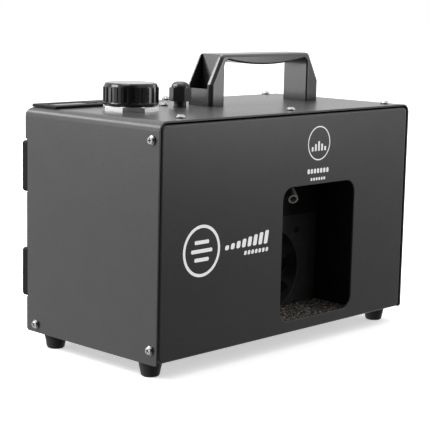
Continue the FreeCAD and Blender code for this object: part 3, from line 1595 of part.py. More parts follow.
def check_everything():
    """Stops if an object failed to compute, or a sub-part is empty or invalid."""
    doc.recompute()
    failed = [o.Name for o in doc.Objects if "Invalid" in o.State or "Error" in o.State]
    for name, thing in nodes.items():
        shape = thing.Shape
        if shape.isNull() or not shape.isValid() or not shape.Solids:
            failed.append(name)
    if failed:
        raise RuntimeError("these did not compute: %s" % failed)


def export_everything():
    """Writes each sub-part to its own STEP file and prints the machine's box."""
    os.makedirs("parts", exist_ok=True)
    whole = FreeCAD.BoundBox()
    for name, thing in sorted(nodes.items()):
        thing.Shape.exportStep("parts/%s.step" % name)
        whole.add(thing.Shape.BoundBox)
    print("%d sub-parts" % len(nodes))
    print("box X %.2f..%.2f" % (whole.XMin, whole.XMax))
    print("box Y %.2f..%.2f" % (whole.YMin, whole.YMax))
    print("box Z %.2f..%.2f" % (whole.ZMin, whole.ZMax))


def main():
    """Builds every sub-part, checks them all and exports them."""
    cover_shell()
    chassis_pan()
    bumpers()
    feet()
    carry_handle()
    fluid_tank()
    filler()
    vent()
    control_panel()
    fan()
    outlet_chamber()
    heater()
    pump()
    tank_shelf()
    hoses()
    power_entry()
    data_sockets()
    power_board()
    fasteners()
    check_everything()
    export_everything()


main()
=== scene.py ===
import math

import bmesh
import bpy
from mathutils import Matrix, Vector, noise


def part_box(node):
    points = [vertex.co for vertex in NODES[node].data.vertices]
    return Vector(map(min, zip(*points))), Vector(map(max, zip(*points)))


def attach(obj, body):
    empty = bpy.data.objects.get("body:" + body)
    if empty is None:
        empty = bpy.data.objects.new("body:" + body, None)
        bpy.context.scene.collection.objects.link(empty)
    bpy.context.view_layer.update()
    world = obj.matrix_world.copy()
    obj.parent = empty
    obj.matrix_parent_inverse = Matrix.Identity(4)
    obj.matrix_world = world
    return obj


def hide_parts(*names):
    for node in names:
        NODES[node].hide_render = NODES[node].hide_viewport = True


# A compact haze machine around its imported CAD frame. Everything is in metres: +X runs to the right
# along the long front face, -Y is the front face with the outlet, and +Z is up.

MM = 0.001

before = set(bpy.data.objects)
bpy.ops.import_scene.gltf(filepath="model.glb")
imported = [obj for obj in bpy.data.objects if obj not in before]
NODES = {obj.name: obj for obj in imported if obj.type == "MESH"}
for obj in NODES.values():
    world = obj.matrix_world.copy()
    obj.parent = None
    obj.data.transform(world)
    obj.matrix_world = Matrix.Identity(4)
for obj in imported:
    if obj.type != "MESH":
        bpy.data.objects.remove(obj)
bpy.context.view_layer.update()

# ---------------------------------------------------------------- camera and studio

CAMERA_PLACE = Vector((-0.91174, -0.86028, 0.31385))
CAMERA_YAW = 46.365
CAMERA_PITCH = -9.186
CAMERA_ROLL = 1.243
CAMERA_LENS = 113.89


def add_camera():
    """The camera looks from the front left, a little above the top of the case."""
    data = bpy.data.cameras.new("camera")
    data.sensor_width = 36.0
    data.lens = CAMERA_LENS
    data.clip_start = 0.01
    data.clip_end = 50.0
    camera = bpy.data.objects.new("camera", data)
    bpy.context.scene.collection.objects.link(camera)
    turn = Matrix.Rotation(math.radians(-CAMERA_YAW), 4, "Z")
    tilt = Matrix.Rotation(math.radians(90.0 + CAMERA_PITCH), 4, "X")
    roll = Matrix.Rotation(math.radians(CAMERA_ROLL), 4, "Z")
    camera.matrix_world = Matrix.Translation(CAMERA_PLACE) @ turn @ tilt @ roll
    bpy.context.scene.camera = camera


def area_light(name, place, aim, width, height, power):
    """A rectangular soft box at `place` that faces `aim`."""
    data = bpy.data.lights.new(name, "AREA")
    data.shape = "RECTANGLE"
    data.size = width
    data.size_y = height
    data.energy = power
    light = bpy.data.objects.new(name, data)
    light.location = place
    light.rotation_mode = "QUATERNION"
    light.rotation_quaternion = (Vector(aim) - Vector(place)).to_track_quat("-Z", "Y")
    bpy.context.scene.collection.objects.link(light)


SURROUND_BRIGHT = 1.06
# Where the room is dim: a direction, how far off it (as a cosine) the dimming starts and is complete,
# and the light that is left there.
DIM_CONES = (
    ((-0.72, -0.68, 0.12), 0.55, 0.92, 0.03),
    ((0.1, -0.84, -0.54), 0.2, 0.8, 0.2),
    ((0.0, 0.0, -1.0), 0.35, 0.8, 0.5),
)
# Soft boxes: name, place, aim, width, height and power in watts.
LIGHTS = (
    ("key_back_left", (-1.0, 0.55, 1.0), (0.0, 0.0, 0.14), 0.7, 0.7, 14.0),
    ("bend_glow", (-0.72, 1.25, 1.05), (0.0, 0.0, 0.2), 0.5, 0.35, 4.5),
    ("top_soft", (0.1, 0.5, 1.9), (0.0, 0.0, 0.1), 1.6, 1.6, 24.0),
    ("front_right", (0.8, -1.0, 0.31), (0.0, 0.0, 0.16), 0.48, 0.44, 2.1),
    ("left_rear", (-1.3, 0.97, 0.31), (0.0, 0.0, 0.16), 0.5, 0.44, 1.8),
    ("right_strip", (1.6, -0.45, 0.35), (0.0, 0.0, 0.2), 0.45, 0.7, 2.6),
)
BACKDROP_RADIUS = 20.0
FLOOR_SIZE = 19.0


def add_surround():
    """The light of the room: pale all round, but dim towards the front and over the floor there."""
    world = bpy.data.worlds.new("studio")
    world.use_nodes = True
    nodes, links = world.node_tree.nodes, world.node_tree.links
    direction = nodes.new("ShaderNodeTexCoord").outputs["Generated"]
    strength = None
    for cone, start, end, left_over in DIM_CONES:
        facing = nodes.new("ShaderNodeVectorMath")
        facing.operation = "DOT_PRODUCT"
        facing.inputs[1].default_value = cone
        links.new(direction, facing.inputs[0])
        fade = nodes.new("ShaderNodeMapRange")
        fade.interpolation_type = "SMOOTHSTEP"
        values = (start, end, SURROUND_BRIGHT, left_over)
        for name, value in zip(("From Min", "From Max", "To Min", "To Max"), values):
            fade.inputs[name].default_value = value
        links.new(facing.outputs["Value"], fade.inputs["Value"])
        if strength is None:
            strength = fade.outputs["Result"]
        else:
            darker = nodes.new("ShaderNodeMath")
            darker.operation = "MINIMUM"
            links.new(strength, darker.inputs[0])
            links.new(fade.outputs["Result"], darker.inputs[1])
            strength = darker.outputs[0]
    background = nodes["Background"]
    background.inputs["Color"].default_value = (1.0, 1.0, 1.0, 1.0)
    links.new(strength, background.inputs["Strength"])
    bpy.context.scene.world = world


def add_backdrop():
    """A white backdrop far behind everything. It is only looked at: it gives no light or reflections."""
    mesh = bpy.data.meshes.new("backdrop")
    shell = bmesh.new()
    bmesh.ops.create_uvsphere(shell, u_segments=48, v_segments=24, radius=BACKDROP_RADIUS)
    shell.to_mesh(mesh)
    shell.free()
    material = bpy.data.materials.new("backdrop_white")
    material.use_nodes = True
    nodes, links = material.node_tree.nodes, material.node_tree.links
    glow = nodes.new("ShaderNodeEmission")
    links.new(glow.outputs["Emission"], nodes["Material Output"].inputs["Surface"])
    mesh.materials.append(material)
    backdrop = bpy.data.objects.new("backdrop", mesh)
    for rays in ("visible_diffuse", "visible_glossy", "visible_transmission", "visible_shadow"):
        setattr(backdrop, rays, False)
    bpy.context.scene.collection.objects.link(backdrop)


def add_floor():
    """A wide pale floor. It takes the contact shadow, and gives the object no light or reflections."""
    side = FLOOR_SIZE / math.sqrt(2.0)
    corners = [(-side, -side, 0.0), (side, -side, 0.0), (side, side, 0.0), (-side, side, 0.0)]
    mesh = bpy.data.meshes.new("floor")
    mesh.from_pydata(corners, [], [(0, 1, 2, 3)])
    mesh.materials.append(floor_material())
    floor = bpy.data.objects.new("floor", mesh)
    floor.visible_glossy = False
    floor.visible_diffuse = False
    bpy.context.scene.collection.objects.link(floor)


def add_studio():
    """Floor, backdrop, soft boxes and the light of the room."""
    add_surround()
    add_backdrop()
    add_floor()
    for name, place, aim, width, height, power in LIGHTS:
        area_light(name, place, aim, width, height, power)
    bpy.context.scene.view_settings.view_transform = "Standard"


# ---------------------------------------------------------------- material tools

# Nearly all of a noise texture's values lie between these two.
NOISE_LOW = 0.3
NOISE_HIGH = 0.7


class Paint:
    """A node material around one Principled shader, with short calls for its textures."""

    def __init__(self, name, color, roughness, metallic=0.0, **settings):
        self.material = bpy.data.materials.new(name)
        self.material.use_nodes = True
        self.nodes = self.material.node_tree.nodes
        self.links = self.material.node_tree.links
        self.shader = self.nodes["Principled BSDF"]
        self.place = self.nodes.new("ShaderNodeTexCoord").outputs["Object"]
        self.height = None
        self.set("Base Color", (*color, 1.0))
        self.set("Roughness", roughness)
        self.set("Metallic", metallic)
        for socket, value in settings.items():
            self.set(socket.replace("_", " "), value)
        self.material.diffuse_color = (*color, 1.0)

    def set(self, socket, value):
        """Links an output, or sets a plain value, on the Principled shader."""
        if isinstance(value, bpy.types.NodeSocket):
            self.links.new(value, self.shader.inputs[socket])
        else:
            self.shader.inputs[socket].default_value = value

    def make(self, kind, inputs, output, **settings):
        """Adds a node, fills its inputs and returns one of its outputs."""
        node = self.nodes.new(kind)
        for name, value in settings.items():
            setattr(node, name, value)
        for name, value in inputs.items():
            if isinstance(value, bpy.types.NodeSocket):
                self.links.new(value, node.inputs[name])
            else:
                node.inputs[name].default_value = value
        return node.outputs[output]

    def noise(self, grain, detail=3.0, roughness=0.55, stretch=(1.0, 1.0, 1.0)):
        """Noise from 0 to 1 with features about `grain` millimetres across."""
        spot = self.make("ShaderNodeMapping", {"Vector": self.place, "Scale": stretch}, "Vector")
        values = {"Vector": spot, "Scale": 1.0 / (grain * MM), "Detail": detail, "Roughness": roughness}
        return self.make("ShaderNodeTexNoise", values, "Fac")

    def cells(self, grain, feature="F1", output="Distance"):
        """Voronoi cells about `grain` millimetres across."""
        values = {"Vector": self.place, "Scale": 1.0 / (grain * MM)}
        return self.make("ShaderNodeTexVoronoi", values, output, feature=feature)

    def remap(self, value, low, high, out_low, out_high):
        """Maps a value from one range to another, clamped."""
        values = {"Value": value, "From Min": low, "From Max": high, "To Min": out_low, "To Max": out_high}
        return self.make("ShaderNodeMapRange", values, "Result")

    def spread(self, value, low=NOISE_LOW, high=NOISE_HIGH):
        """Stretches part of a value's range to the full 0 to 1. By default it is most of a noise's."""
        return self.remap(value, low, high, 0.0, 1.0)

    def multiply(self, first, second):
        """The product of two values."""
        node = self.nodes.new("ShaderNodeMath")
        node.operation = "MULTIPLY"
        for slot, value in enumerate((first, second)):
            if isinstance(value, bpy.types.NodeSocket):
                self.links.new(value, node.inputs[slot])
            else:
                node.inputs[slot].default_value = value
        return node.outputs[0]

    def blend(self, factor, first, second):
        """A mix of two colours."""
        node = self.nodes.new("ShaderNodeMix")
        node.data_type = "RGBA"
        for slot, value in ((0, factor), (6, first), (7, second)):
            if isinstance(value, bpy.types.NodeSocket):
                self.links.new(value, node.inputs[slot])
            elif slot:
                node.inputs[slot].default_value = (*value, 1.0)
            else:
                node.inputs[slot].default_value = value
        return node.outputs[2]

    def bump(self, height, depth, strength=1.0):
        """Bump from a 0 to 1 height that stands for `depth` millimetres; calls stack."""
        values = {"Height": height, "Distance": depth * MM, "Strength": strength}
        if self.height is not None:
            values["Normal"] = self.height
        self.height = self.make("ShaderNodeBump", values, "Normal")
        self.set("Normal", self.height)


def scaled(color, factor):
    """A colour made lighter or darker."""
    return tuple(channel * factor for channel in color)


# ---------------------------------------------------------------- materials


def floor_material():
    """Pale studio floor with a faint unevenness. It glows, more so further out, to meet the backdrop."""
    paint = Paint("studio_floor", (0.86, 0.86, 0.86), 0.7, Emission_Color=(1.0, 1.0, 1.0, 1.0))
    patches = paint.noise(300.0, 2.0)
    tone = paint.spread(patches)
    paint.set("Base Color", paint.blend(tone, (0.85, 0.85, 0.85), (0.87, 0.87, 0.87)))
    distance = paint.make("ShaderNodeVectorMath", {0: paint.place}, "Value", operation="LENGTH")
    paint.set("Emission Strength", paint.remap(distance, 0.3, 1.2, 0.5, 0.7))
    return paint.material


def powder_coat():
    """Charcoal powder coat: a fine pebbled skin, faint mottling and a few dust specks."""
    color = (0.036, 0.036, 0.0365)
    paint = Paint("powder_coat", color, 0.34, Specular_IOR_Level=0.5)
    pebbles = paint.noise(1.3, 2.0, 0.5)
    fine = paint.noise(0.35, 2.0, 0.6)
    mottle = paint.spread(paint.noise(28.0, 3.0))
    grain = paint.spread(fine, 0.35, 0.65)
    skin = paint.blend(mottle, scaled(color, 0.92), scaled(color, 1.08))
    paint.set("Base Color", paint.blend(paint.multiply(grain, 0.35), skin, scaled(color, 1.25)))
    paint.set("Roughness", paint.remap(pebbles, 0.3, 0.7, 0.27, 0.34))
    paint.bump(pebbles, 0.035, 0.28)
    paint.bump(fine, 0.012, 0.3)
    return paint.material


def moulded_plastic():
    """Glossy charcoal plastic of the handle, with a faint grain and flow marks, and painted shade in its
    hollows.
    """
    color = (0.016, 0.016, 0.0165)
    paint = Paint("moulded_plastic", color, 0.2)
    grain = paint.noise(0.45, 3.0, 0.6)
    flow = paint.spread(paint.noise(22.0, 2.0, 0.5, (0.3, 1.0, 1.0)))
    skin = paint.blend(flow, scaled(color, 0.92), scaled(color, 1.08))
    # Painted shade: ambient occlusion darkens the colour and weakens the reflection in the handle's
    # hollows.
    openness = paint.make("ShaderNodeAmbientOcclusion", {"Distance": 16.0 * MM}, "AO")
    outside_painted_shade = paint.spread(openness, 0.4, 0.85)
    paint.set("Base Color", paint.blend(outside_painted_shade, scaled(color, 0.4), skin))
    paint.set("Specular IOR Level", paint.remap(outside_painted_shade, 0.0, 1.0, 0.2, 1.0))
    paint.set("Roughness", paint.remap(grain, 0.3, 0.7, 0.18, 0.27))
    paint.bump(grain, 0.012, 0.3)
    return paint.material


def rubber(name, color, dusty, gloss):
    """Moulded rubber: matt, more or less dusty, with a faint grain."""
    paint = Paint(name, color, 0.6, Specular_IOR_Level=gloss)
    dust = paint.remap(paint.noise(4.0, 4.0, 0.65), 0.45, 0.8, 0.0, dusty)
    grain = paint.noise(0.5, 3.0, 0.6)
    paint.set("Base Color", paint.blend(dust, color, (0.05, 0.05, 0.05)))
    paint.set("Roughness", paint.remap(dust, 0.0, 0.5, 0.55, 0.75))
    paint.bump(grain, 0.06, 0.4)
    return paint.material


def bumper_rubber():
    """Clean black rubber of the bumpers and seals."""
    return rubber("bumper_rubber", (0.008, 0.008, 0.0085), 0.08, 0.1)


def foot_rubber():
    """Greyer rubber of the feet, dusty from the floor."""
    return rubber("foot_rubber", (0.027, 0.027, 0.0265), 0.35, 0.25)


def bright_plate():
    """Bright nickel plating on screws and small turned parts, with painted shade darkening their recesses.
    """
    paint = Paint("bright_plate", (0.5, 0.5, 0.5), 0.16, 1.0)
    haze = paint.noise(1.2, 3.0)
    paint.set("Roughness", paint.remap(haze, 0.3, 0.7, 0.07, 0.14))
    tone = paint.spread(paint.noise(2.5, 2.0), 0.35, 0.65)
    metal = paint.blend(tone, (0.46, 0.46, 0.47), (0.58, 0.58, 0.58))
    # Painted shade: the metal turns near black in recesses such as the screws' cross slots.
    open_sky = paint.make("ShaderNodeAmbientOcclusion", {"Distance": 1.6 * MM}, "AO")
    recess_painted_shade = paint.spread(open_sky, 0.45, 0.95)
    paint.set("Base Color", paint.blend(recess_painted_shade, (0.012, 0.012, 0.012), metal))
    paint.bump(haze, 0.01, 0.3)
    return paint.material


def nut_plate():
    """Polished plating on the octagonal tank nut, with faint turning marks."""
    paint = Paint("nut_plate", (0.8, 0.8, 0.81), 0.16, 1.0)
    streaks = paint.noise(0.6, 2.0, 0.5, (0.1, 0.1, 1.0))
    paint.set("Roughness", paint.remap(streaks, 0.3, 0.7, 0.34, 0.44))
    tone = paint.spread(streaks)
    paint.set("Base Color", paint.blend(tone, (0.58, 0.58, 0.58), (0.7, 0.7, 0.69)))
    paint.bump(streaks, 0.008, 0.3)
    return paint.material


def gloss_black():
    """Polished black plastic with faint handling marks."""
    color = (0.008, 0.008, 0.009)
    paint = Paint("gloss_black", color, 0.12, Specular_IOR_Level=0.6)
    marks = paint.spread(paint.noise(6.0, 4.0, 0.7), 0.45, 0.75)
    paint.set("Roughness", paint.remap(marks, 0.0, 1.0, 0.1, 0.22))
    paint.set("Base Color", paint.blend(marks, color, scaled(color, 1.6)))
    paint.bump(paint.noise(3.0, 2.0), 0.01, 0.2)
    return paint.material


def vent_black():
    """Moulded nylon of the vent's dome nut: black, between satin and gloss."""
    color = (0.016, 0.016, 0.0165)
    paint = Paint("vent_black", color, 0.18)
    grain = paint.noise(0.4, 3.0, 0.6)
    tone = paint.spread(paint.noise(5.0, 2.0))
    paint.set("Base Color", paint.blend(tone, scaled(color, 0.85), scaled(color, 1.2)))
    paint.set("Roughness", paint.remap(grain, 0.3, 0.7, 0.14, 0.22))
    paint.bump(grain, 0.01, 0.3)
    return paint.material


def satin_black_plastic():
    """Satin black plastic for sockets, switch, fan and control panel."""
    color = (0.018, 0.018, 0.019)
    paint = Paint("satin_black_plastic", color, 0.4)
    grain = paint.noise(0.3, 2.0, 0.6)
    tone = paint.spread(paint.noise(12.0, 3.0))
    paint.set("Base Color", paint.blend(tone, scaled(color, 0.85), scaled(color, 1.2)))
    paint.set("Roughness", paint.remap(grain, 0.3, 0.7, 0.33, 0.47))
    paint.bump(grain, 0.02, 0.35)
    return paint.material


def panel_black():
    """Matt black skin of the control panel, with a faint stipple."""
    color = (0.007, 0.007, 0.0075)
    paint = Paint("panel_black", color, 0.6, Specular_IOR_Level=0.2)
    stipple = paint.noise(0.4, 2.0, 0.6)
    tone = paint.spread(paint.noise(15.0, 3.0))
    paint.set("Base Color", paint.blend(tone, scaled(color, 0.8), scaled(color, 1.3)))
    paint.set("Roughness", paint.remap(stipple, 0.3, 0.7, 0.52, 0.7))
    paint.bump(stipple, 0.02, 0.4)
    return paint.material


def display_glass():
    """Smoked display window with a faint smudge."""
    paint = Paint("display_glass", (0.01, 0.014, 0.018), 0.2, Specular_IOR_Level=0.4)
    smudge = paint.spread(paint.noise(16.0, 2.0))
    paint.set("Roughness", paint.remap(smudge, 0.0, 1.0, 0.16, 0.22))
    paint.set("Base Color", paint.blend(smudge, (0.009, 0.013, 0.017), (0.012, 0.017, 0.022)))
    return paint.material


def circuit_board():
    """Green solder mask with copper tracks showing through it."""
    paint = Paint("circuit_board", (0.01, 0.09, 0.035), 0.35)
    tracks = paint.cells(3.2, "DISTANCE_TO_EDGE")
    mask = paint.remap(tracks, 0.05, 0.09, 1.0, 0.0)
    paint.set("Base Color", paint.blend(mask, (0.01, 0.075, 0.03), (0.03, 0.17, 0.07)))
    paint.bump(mask, 0.03, 0.5)
    return paint.material


def tank_plastic():
    """Natural polyethylene: milky, waxy and slightly see-through."""
    color = (0.8, 0.81, 0.77)
    paint = Paint("tank_plastic", color, 0.38, Subsurface_Weight=0.3, Subsurface_Radius=(0.01, 0.01, 0.008))
    cloud = paint.spread(paint.noise(35.0, 3.0))
    paint.set("Base Color", paint.blend(cloud, scaled(color, 0.93), color))
    paint.bump(paint.noise(2.0, 3.0), 0.05, 0.3)
    return paint.material


def inner_sheet():
    """Matt black paint on the sheet metal inside."""
    color = (0.012, 0.012, 0.0115)
    paint = Paint("inner_sheet", color, 0.5, Specular_IOR_Level=0.35)
    grain = paint.noise(0.8, 3.0, 0.6)
    tone = paint.spread(paint.noise(18.0, 3.0))
    paint.set("Base Color", paint.blend(tone, scaled(color, 0.8), scaled(color, 1.2)))
    paint.set("Roughness", paint.remap(grain, 0.3, 0.7, 0.5, 0.65))
    paint.bump(grain, 0.05, 0.35)
    return paint.material


def lit_baffle_paint():
    """Grey-black paint on the fan's baffle, a little worn. It is lighter than the inner sheet's black:
    painted light on the lit baffle.
    """
    # Painted light: a lighter copy of the inner sheet's paint, for the baffle that catches light through
    # the outlet.
    color = (0.05, 0.052, 0.05)
    paint = Paint("lit_baffle_paint", color, 0.42, Specular_IOR_Level=0.5)
    wear = paint.spread(paint.noise(9.0, 4.0, 0.65), 0.5, 0.75)
    paint.set("Base Color", paint.blend(wear, color, scaled(color, 1.5)))
    paint.set("Roughness", paint.remap(wear, 0.0, 1.0, 0.4, 0.55))
    paint.bump(paint.noise(0.8, 3.0, 0.6), 0.04, 0.35)
    return paint.material


def nozzle_steel():
    """Dull steel tube, scaled and browned by heat."""
    paint = Paint("nozzle_steel", (0.5, 0.49, 0.47), 0.42, 0.35)
    heat = paint.spread(paint.noise(5.0, 3.0), 0.35, 0.7)
    paint.set("Base Color", paint.blend(heat, (0.62, 0.61, 0.59), (0.4, 0.36, 0.3)))
    rings = paint.noise(0.5, 2.0, 0.5, (0.1, 1.0, 1.0))
    paint.set("Roughness", paint.remap(rings, 0.3, 0.7, 0.34, 0.5))
    paint.bump(rings, 0.02, 0.4)
    return paint.material


def heater_alloy():
    """Sawn and machined aluminium."""
    paint = Paint("heater_alloy", (0.66, 0.66, 0.67), 0.35, 1.0)
    saw = paint.noise(0.7, 3.0, 0.6, (0.05, 1.0, 1.0))
    tone = paint.spread(saw)
    paint.set("Base Color", paint.blend(tone, (0.58, 0.58, 0.59), (0.7, 0.7, 0.71)))
    paint.set("Roughness", paint.remap(saw, 0.3, 0.7, 0.28, 0.45))
    paint.bump(saw, 0.03, 0.5)
    return paint.material


WEAVE_SCALE = 110.0


def insulation():
    """Woven glass fibre sleeve."""
    color = (0.55, 0.52, 0.46)
    paint = Paint("insulation", color, 0.85)
    waves = []
    for direction in ("X", "Z"):
        values = {"Vector": paint.place, "Scale": WEAVE_SCALE, "Distortion": 0.6}
        wave = paint.make("ShaderNodeTexWave", values, "Fac", bands_direction=direction)
        waves.append(wave)
    weave = paint.multiply(*waves)
    paint.set("Base Color", paint.blend(weave, scaled(color, 0.6), scaled(color, 1.1)))
    paint.bump(weave, 0.25, 0.8)
    return paint.material


def foam_black():
    """Open-cell foam: dark grey-brown pits between pale, dusty cell walls."""
    paint = Paint("foam_black", (0.06, 0.055, 0.05), 0.9, Specular_IOR_Level=0.25)
    cells = paint.cells(2.0, "DISTANCE_TO_EDGE")
    walls = paint.remap(cells, 0.04, 0.26, 1.0, 0.0)
    clumps = paint.spread(paint.noise(3.2, 4.0, 0.7), 0.48, 0.6)
    mask = paint.multiply(walls, clumps)
    paint.set("Base Color", paint.blend(mask, (0.05, 0.046, 0.041), (0.5, 0.46, 0.41)))
    paint.bump(walls, 0.5, 0.9)
    return paint.material


def hose_silicone():
    """Milky silicone hose."""
    color = (0.62, 0.63, 0.6)
    paint = Paint("hose_silicone", color, 0.3, Transmission_Weight=0.35, IOR=1.41)
    cloud = paint.spread(paint.noise(8.0, 3.0))
    paint.set("Base Color", paint.blend(cloud, scaled(color, 0.9), color))
    paint.set("Roughness", paint.remap(cloud, 0.0, 1.0, 0.26, 0.38))
    return paint.material


def pump_steel():
    """Zinc plated steel housing of the pump."""
    paint = Paint("pump_steel", (0.5, 0.5, 0.49), 0.34, 1.0)
    spangle = paint.cells(7.0, "F1", "Color")
    grey = paint.make("ShaderNodeRGBToBW", {"Color": spangle}, "Val")
    paint.set("Base Color", paint.blend(grey, (0.42, 0.42, 0.41), (0.56, 0.56, 0.55)))
    paint.set("Roughness", paint.remap(grey, 0.0, 1.0, 0.28, 0.42))
    return paint.material


def socket_nickel():
    """Satin nickel on the round control sockets."""
    paint = Paint("socket_nickel", (0.42, 0.42, 0.42), 0.32, 1.0)
    grain = paint.noise(0.5, 3.0)
    paint.set("Roughness", paint.remap(grain, 0.3, 0.7, 0.26, 0.42))
    tone = paint.spread(paint.noise(6.0, 2.0))
    paint.set("Base Color", paint.blend(tone, (0.36, 0.36, 0.36), (0.46, 0.46, 0.46)))
    paint.bump(grain, 0.01, 0.3)
    return paint.material


def white_ink():
    """Screen-printed white ink, a little thin in places. It glows a little by itself: painted light."""
    color = (0.96, 0.96, 0.95)
    # The emission is painted light: the ink glows though it is no lamp.
    paint = Paint("white_ink", color, 0.5, Emission_Color=(*color, 1.0), Emission_Strength=0.3)
    thin = paint.remap(paint.noise(1.2, 3.0), 0.35, 0.7, 0.0, 0.35)
    paint.set("Base Color", paint.blend(thin, color, scaled(color, 0.85)))
    paint.bump(paint.noise(0.4, 2.0), 0.01, 0.3)
    return paint.material


# ---------------------------------------------------------------- materials on the CAD nodes

FINISHES = {
    powder_coat: ["cover_shell", "chassis_pan"],
    moulded_plastic: ["carry_handle"],
    foot_rubber: [
        "front_left_foot",
        "rear_left_foot",
        "front_right_foot",
        "rear_right_foot",
    ],
    bumper_rubber: [
        "left_lower_bumper",
        "left_upper_bumper",
        "right_lower_bumper",
        "right_upper_bumper",
        "tank_gasket",
        "cap_liner",
    ],
    bright_plate: [
        "side_screws",
        "top_screws",
        "handle_screws",
        "foot_screws",
        "socket_screws",
        "handle_nuts",
        "board_standoffs",
        "fan_guard",
    ],
    nut_plate: ["tank_nut"],
    gloss_black: ["fill_cap"],
    vent_black: ["vent_dome_nut"],
    satin_black_plastic: [
        "menu_button",
        "up_button",
        "down_button",
        "enter_button",
        "fan_rotor",
        "power_inlet",
        "fuse_drawer",
        "power_switch",
        "power_rocker",
        "thermostat",
        "vent_body",
    ],
    panel_black: ["control_bezel"],
    display_glass: ["display_window"],
    circuit_board: ["control_board", "power_board", "display_module"],
    tank_plastic: ["fluid_tank"],
    lit_baffle_paint: ["fan_plate", "fan_frame"],
    inner_sheet: [
        "fan_screws",
        "outlet_hood",
        "tank_shelf",
        "heater_bracket",
        "pump_bracket",
    ],
    nozzle_steel: ["outlet_nozzle"],
    heater_alloy: ["heater_block", "pump_piston"],
    insulation: ["heater_insulation"],
    hose_silicone: ["suction_hose", "pressure_hose"],
    pump_steel: ["pump_housing"],
    socket_nickel: ["dmx_input", "dmx_output", "dmx_latch"],
}


def paint_nodes():
    """Gives every CAD node its material."""
    for make_material, names in FINISHES.items():
        material = make_material()
        for name in names:
            data = NODES[name].data
            data.materials.clear()
            data.materials.append(material)


# ---------------------------------------------------------------- foam pad in the outlet

FOAM_CELL = 1.1 * MM
FOAM_PIT = 1.5 * MM
PORE = 2.2 * MM
# How much of the pad's face is eaten away everywhere, and how much the finer pores count.
PORE_BASE = 0.35
FINE_SHARE = 0.6
TOUCHING = 0.001 * MM
# The share of an edge's length that must run along an axis.
STRAIGHT = 0.999


def make_piece(name, shell, material):
    """Turns a bmesh into a named object with one material, on the case."""
    mesh = bpy.data.meshes.new(name)
    bmesh.ops.recalc_face_normals(shell, faces=shell.faces)
    shell.to_mesh(mesh)
    shell.free()
    mesh.materials.append(material)
    piece = bpy.data.objects.new(name, mesh)
    bpy.context.scene.collection.objects.link(piece)
    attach(piece, "case")
    return piece


def edge_runs_along(edge, axis):
    """True for an edge whose length is all along one axis."""
    span = edge.verts[1].co - edge.verts[0].co
    return abs(span[axis]) > STRAIGHT * span.length


def foam_block(low, high):
    """A box of foam, cut into a grid of small squares on its faces."""
    size = high - low
    shell = bmesh.new()
    bmesh.ops.create_cube(shell, size=1.0)
    for corner in shell.verts:
        corner.co = Vector(low[i] + (corner.co[i] + 0.5) * size[i] for i in range(3))
    for axis in range(3):
        cuts = round(size[axis] / FOAM_CELL) - 1
        along = [edge for edge in shell.edges if edge_runs_along(edge, axis)]
        bmesh.ops.subdivide_edges(shell, edges=along, cuts=cuts, use_grid_fill=True)
    return shell


def foam_pad():
    """The drip pad: a slab whose top and sides are eaten into by open pores."""
    low, high = (Vector(corner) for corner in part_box("drip_foam"))
    middle = (low + high) / 2.0
    shell = foam_block(low, high)
    for point in shell.verts:
        coarse = noise.noise(point.co / PORE)
        fine = noise.noise(2.0 * point.co / PORE + middle)
        inward = Vector((0.0, 0.0, 0.0))
        for axis in range(3):
            if abs(point.co[axis] - high[axis]) < TOUCHING:
                inward[axis] = -1.0
            elif abs(point.co[axis] - low[axis]) < TOUCHING and axis < 2:
                inward[axis] = 1.0
        depth = FOAM_PIT * (PORE_BASE + coarse + FINE_SHARE * fine)
        point.co += inward * min(max(depth, 0.0), FOAM_PIT)
    foam = make_piece("drip_foam_pad", shell, foam_black())
    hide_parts("drip_foam")


# ---------------------------------------------------------------- printed marks on the front

INK = 0.04 * MM
FRONT_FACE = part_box("chassis_pan")[0][1]
RING_SEGMENTS = 72
BAR_CORNER = 0.3
CORNER_STEPS = 4
LEAN = 0.18
# Places and sizes on the front face, as (x, z) and lengths in millimetres.
LEVEL_CENTRE = (-116.0, 104.0)
LEVEL_RADIUS = 22.0
LEVEL_RING = 2.6
LEVEL_BARS = (17.0, 25.0, 17.0)
LEVEL_BAR_HEIGHT = 3.2
LEVEL_PITCH = 7.4
RISING_BARS = [4.0 + 1.1 * i for i in range(8)]
OUTLET_CENTRE = (32.6, 184.5)
OUTLET_RADIUS = 15.5
OUTLET_RING = 1.1
OUTLET_BARS = (4.0, 6.4, 8.8, 6.4, 4.0)
# Rows of bars: left end, foot, pitch, width of a bar, and the bars' heights.
LEVEL_ROWS = (
    (-88.0, 101.0, 7.0, 4.6, RISING_BARS),
    (-64.0, 94.0, 4.6, 3.0, [3.6] * 7),
)
OUTLET_ROWS = (
    (22.4, 177.5, 4.4, 2.4, OUTLET_BARS),
    (17.6, 157.5, 4.4, 3.0, [4.2] * 7),
    (22.2, 151.0, 3.6, 2.4, [2.6] * 6),
)


def add_plate(shell, outline):
    """A thin plate of ink on the front face. The outline is a list of (x, z) points in millimetres."""
    back = [shell.verts.new((x * MM, FRONT_FACE, z * MM)) for x, z in outline]
    front = [shell.verts.new((x * MM, FRONT_FACE - INK, z * MM)) for x, z in outline]
    shell.faces.new(back)
    shell.faces.new(list(reversed(front)))
    count = len(outline)
    for i in range(count):
        after = (i + 1) % count
        shell.faces.new((back[i], front[i], front[after], back[after]))


def add_bar(shell, left, low, width, height, lean=0.0):
    """A bar with rounded corners that may lean to the right."""
    radius = min(width, height) * BAR_CORNER
    outline = []
    corners = ((width, 0.0, -90), (width, height, 0), (0.0, height, 90), (0.0, 0.0, 180))
    for across, up, start in corners:
        centre_x = across + (radius if across == 0.0 else -radius)
        centre_z = up + (radius if up == 0.0 else -radius)
        for step in range(CORNER_STEPS):
            angle = math.radians(start + 90 * step / (CORNER_STEPS - 1))
            x = centre_x + radius * math.cos(angle)
            z = centre_z + radius * math.sin(angle)
            outline.append((left + x + lean * z, low + z))
    add_plate(shell, outline)


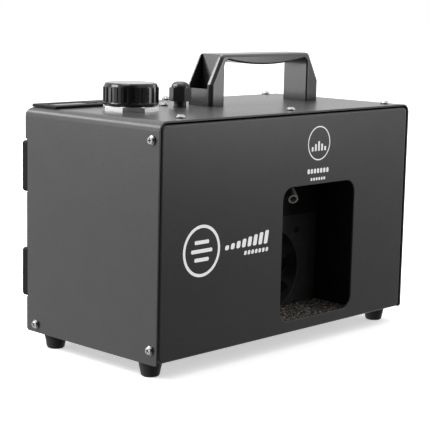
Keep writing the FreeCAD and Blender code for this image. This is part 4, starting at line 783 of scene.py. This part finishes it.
def add_row(shell, left, low, pitch, width, heights, lean=0.0):
    """A row of bars that stand on one line, one for each height."""
    for i, height in enumerate(heights):
        add_bar(shell, left + pitch * i, low, width, height, lean)


def add_ring(shell, centre, radius, width):
    """A flat ring of ink, closed on itself."""
    loops = []
    for depth in (0.0, INK):
        for reach in (radius - width, radius):
            loop = []
            for i in range(RING_SEGMENTS):
                angle = math.tau * i / RING_SEGMENTS
                x = centre[0] + reach * math.cos(angle)
                z = centre[1] + reach * math.sin(angle)
                loop.append(shell.verts.new((x * MM, FRONT_FACE - depth, z * MM)))
            loops.append(loop)
    inner_back, outer_back, inner_front, outer_front = loops
    for i in range(RING_SEGMENTS):
        j = (i + 1) % RING_SEGMENTS
        shell.faces.new((inner_front[i], inner_front[j], outer_front[j], outer_front[i]))
        shell.faces.new((outer_front[i], outer_front[j], outer_back[j], outer_back[i]))
        shell.faces.new((outer_back[i], outer_back[j], inner_back[j], inner_back[i]))
        shell.faces.new((inner_back[i], inner_back[j], inner_front[j], inner_front[i]))


def level_mark(material):
    """Left of the outlet: a ring with three bars, then rising bars over a row of short ones."""
    shell = bmesh.new()
    add_ring(shell, LEVEL_CENTRE, LEVEL_RADIUS, LEVEL_RING)
    middle_x, middle_z = LEVEL_CENTRE
    for i, width in enumerate(LEVEL_BARS):
        low = middle_z + LEVEL_PITCH * (i - 1) - LEVEL_BAR_HEIGHT / 2
        add_bar(shell, middle_x - width / 2, low, width, LEVEL_BAR_HEIGHT)
    for row in LEVEL_ROWS:
        add_row(shell, *row, LEAN)
    mark = make_piece("level_mark", shell, material)


def outlet_mark(material):
    """Above the outlet: a ring around five bars, and two short rows of bars under it."""
    shell = bmesh.new()
    add_ring(shell, OUTLET_CENTRE, OUTLET_RADIUS, OUTLET_RING)
    for row in OUTLET_ROWS:
        add_row(shell, *row)
    mark = make_piece("outlet_mark", shell, material)


def printed_marks():
    """The plain marks printed on the front in white."""
    material = white_ink()
    level_mark(material)
    outlet_mark(material)


add_camera()
add_studio()
paint_nodes()
foam_pad()
printed_marks()
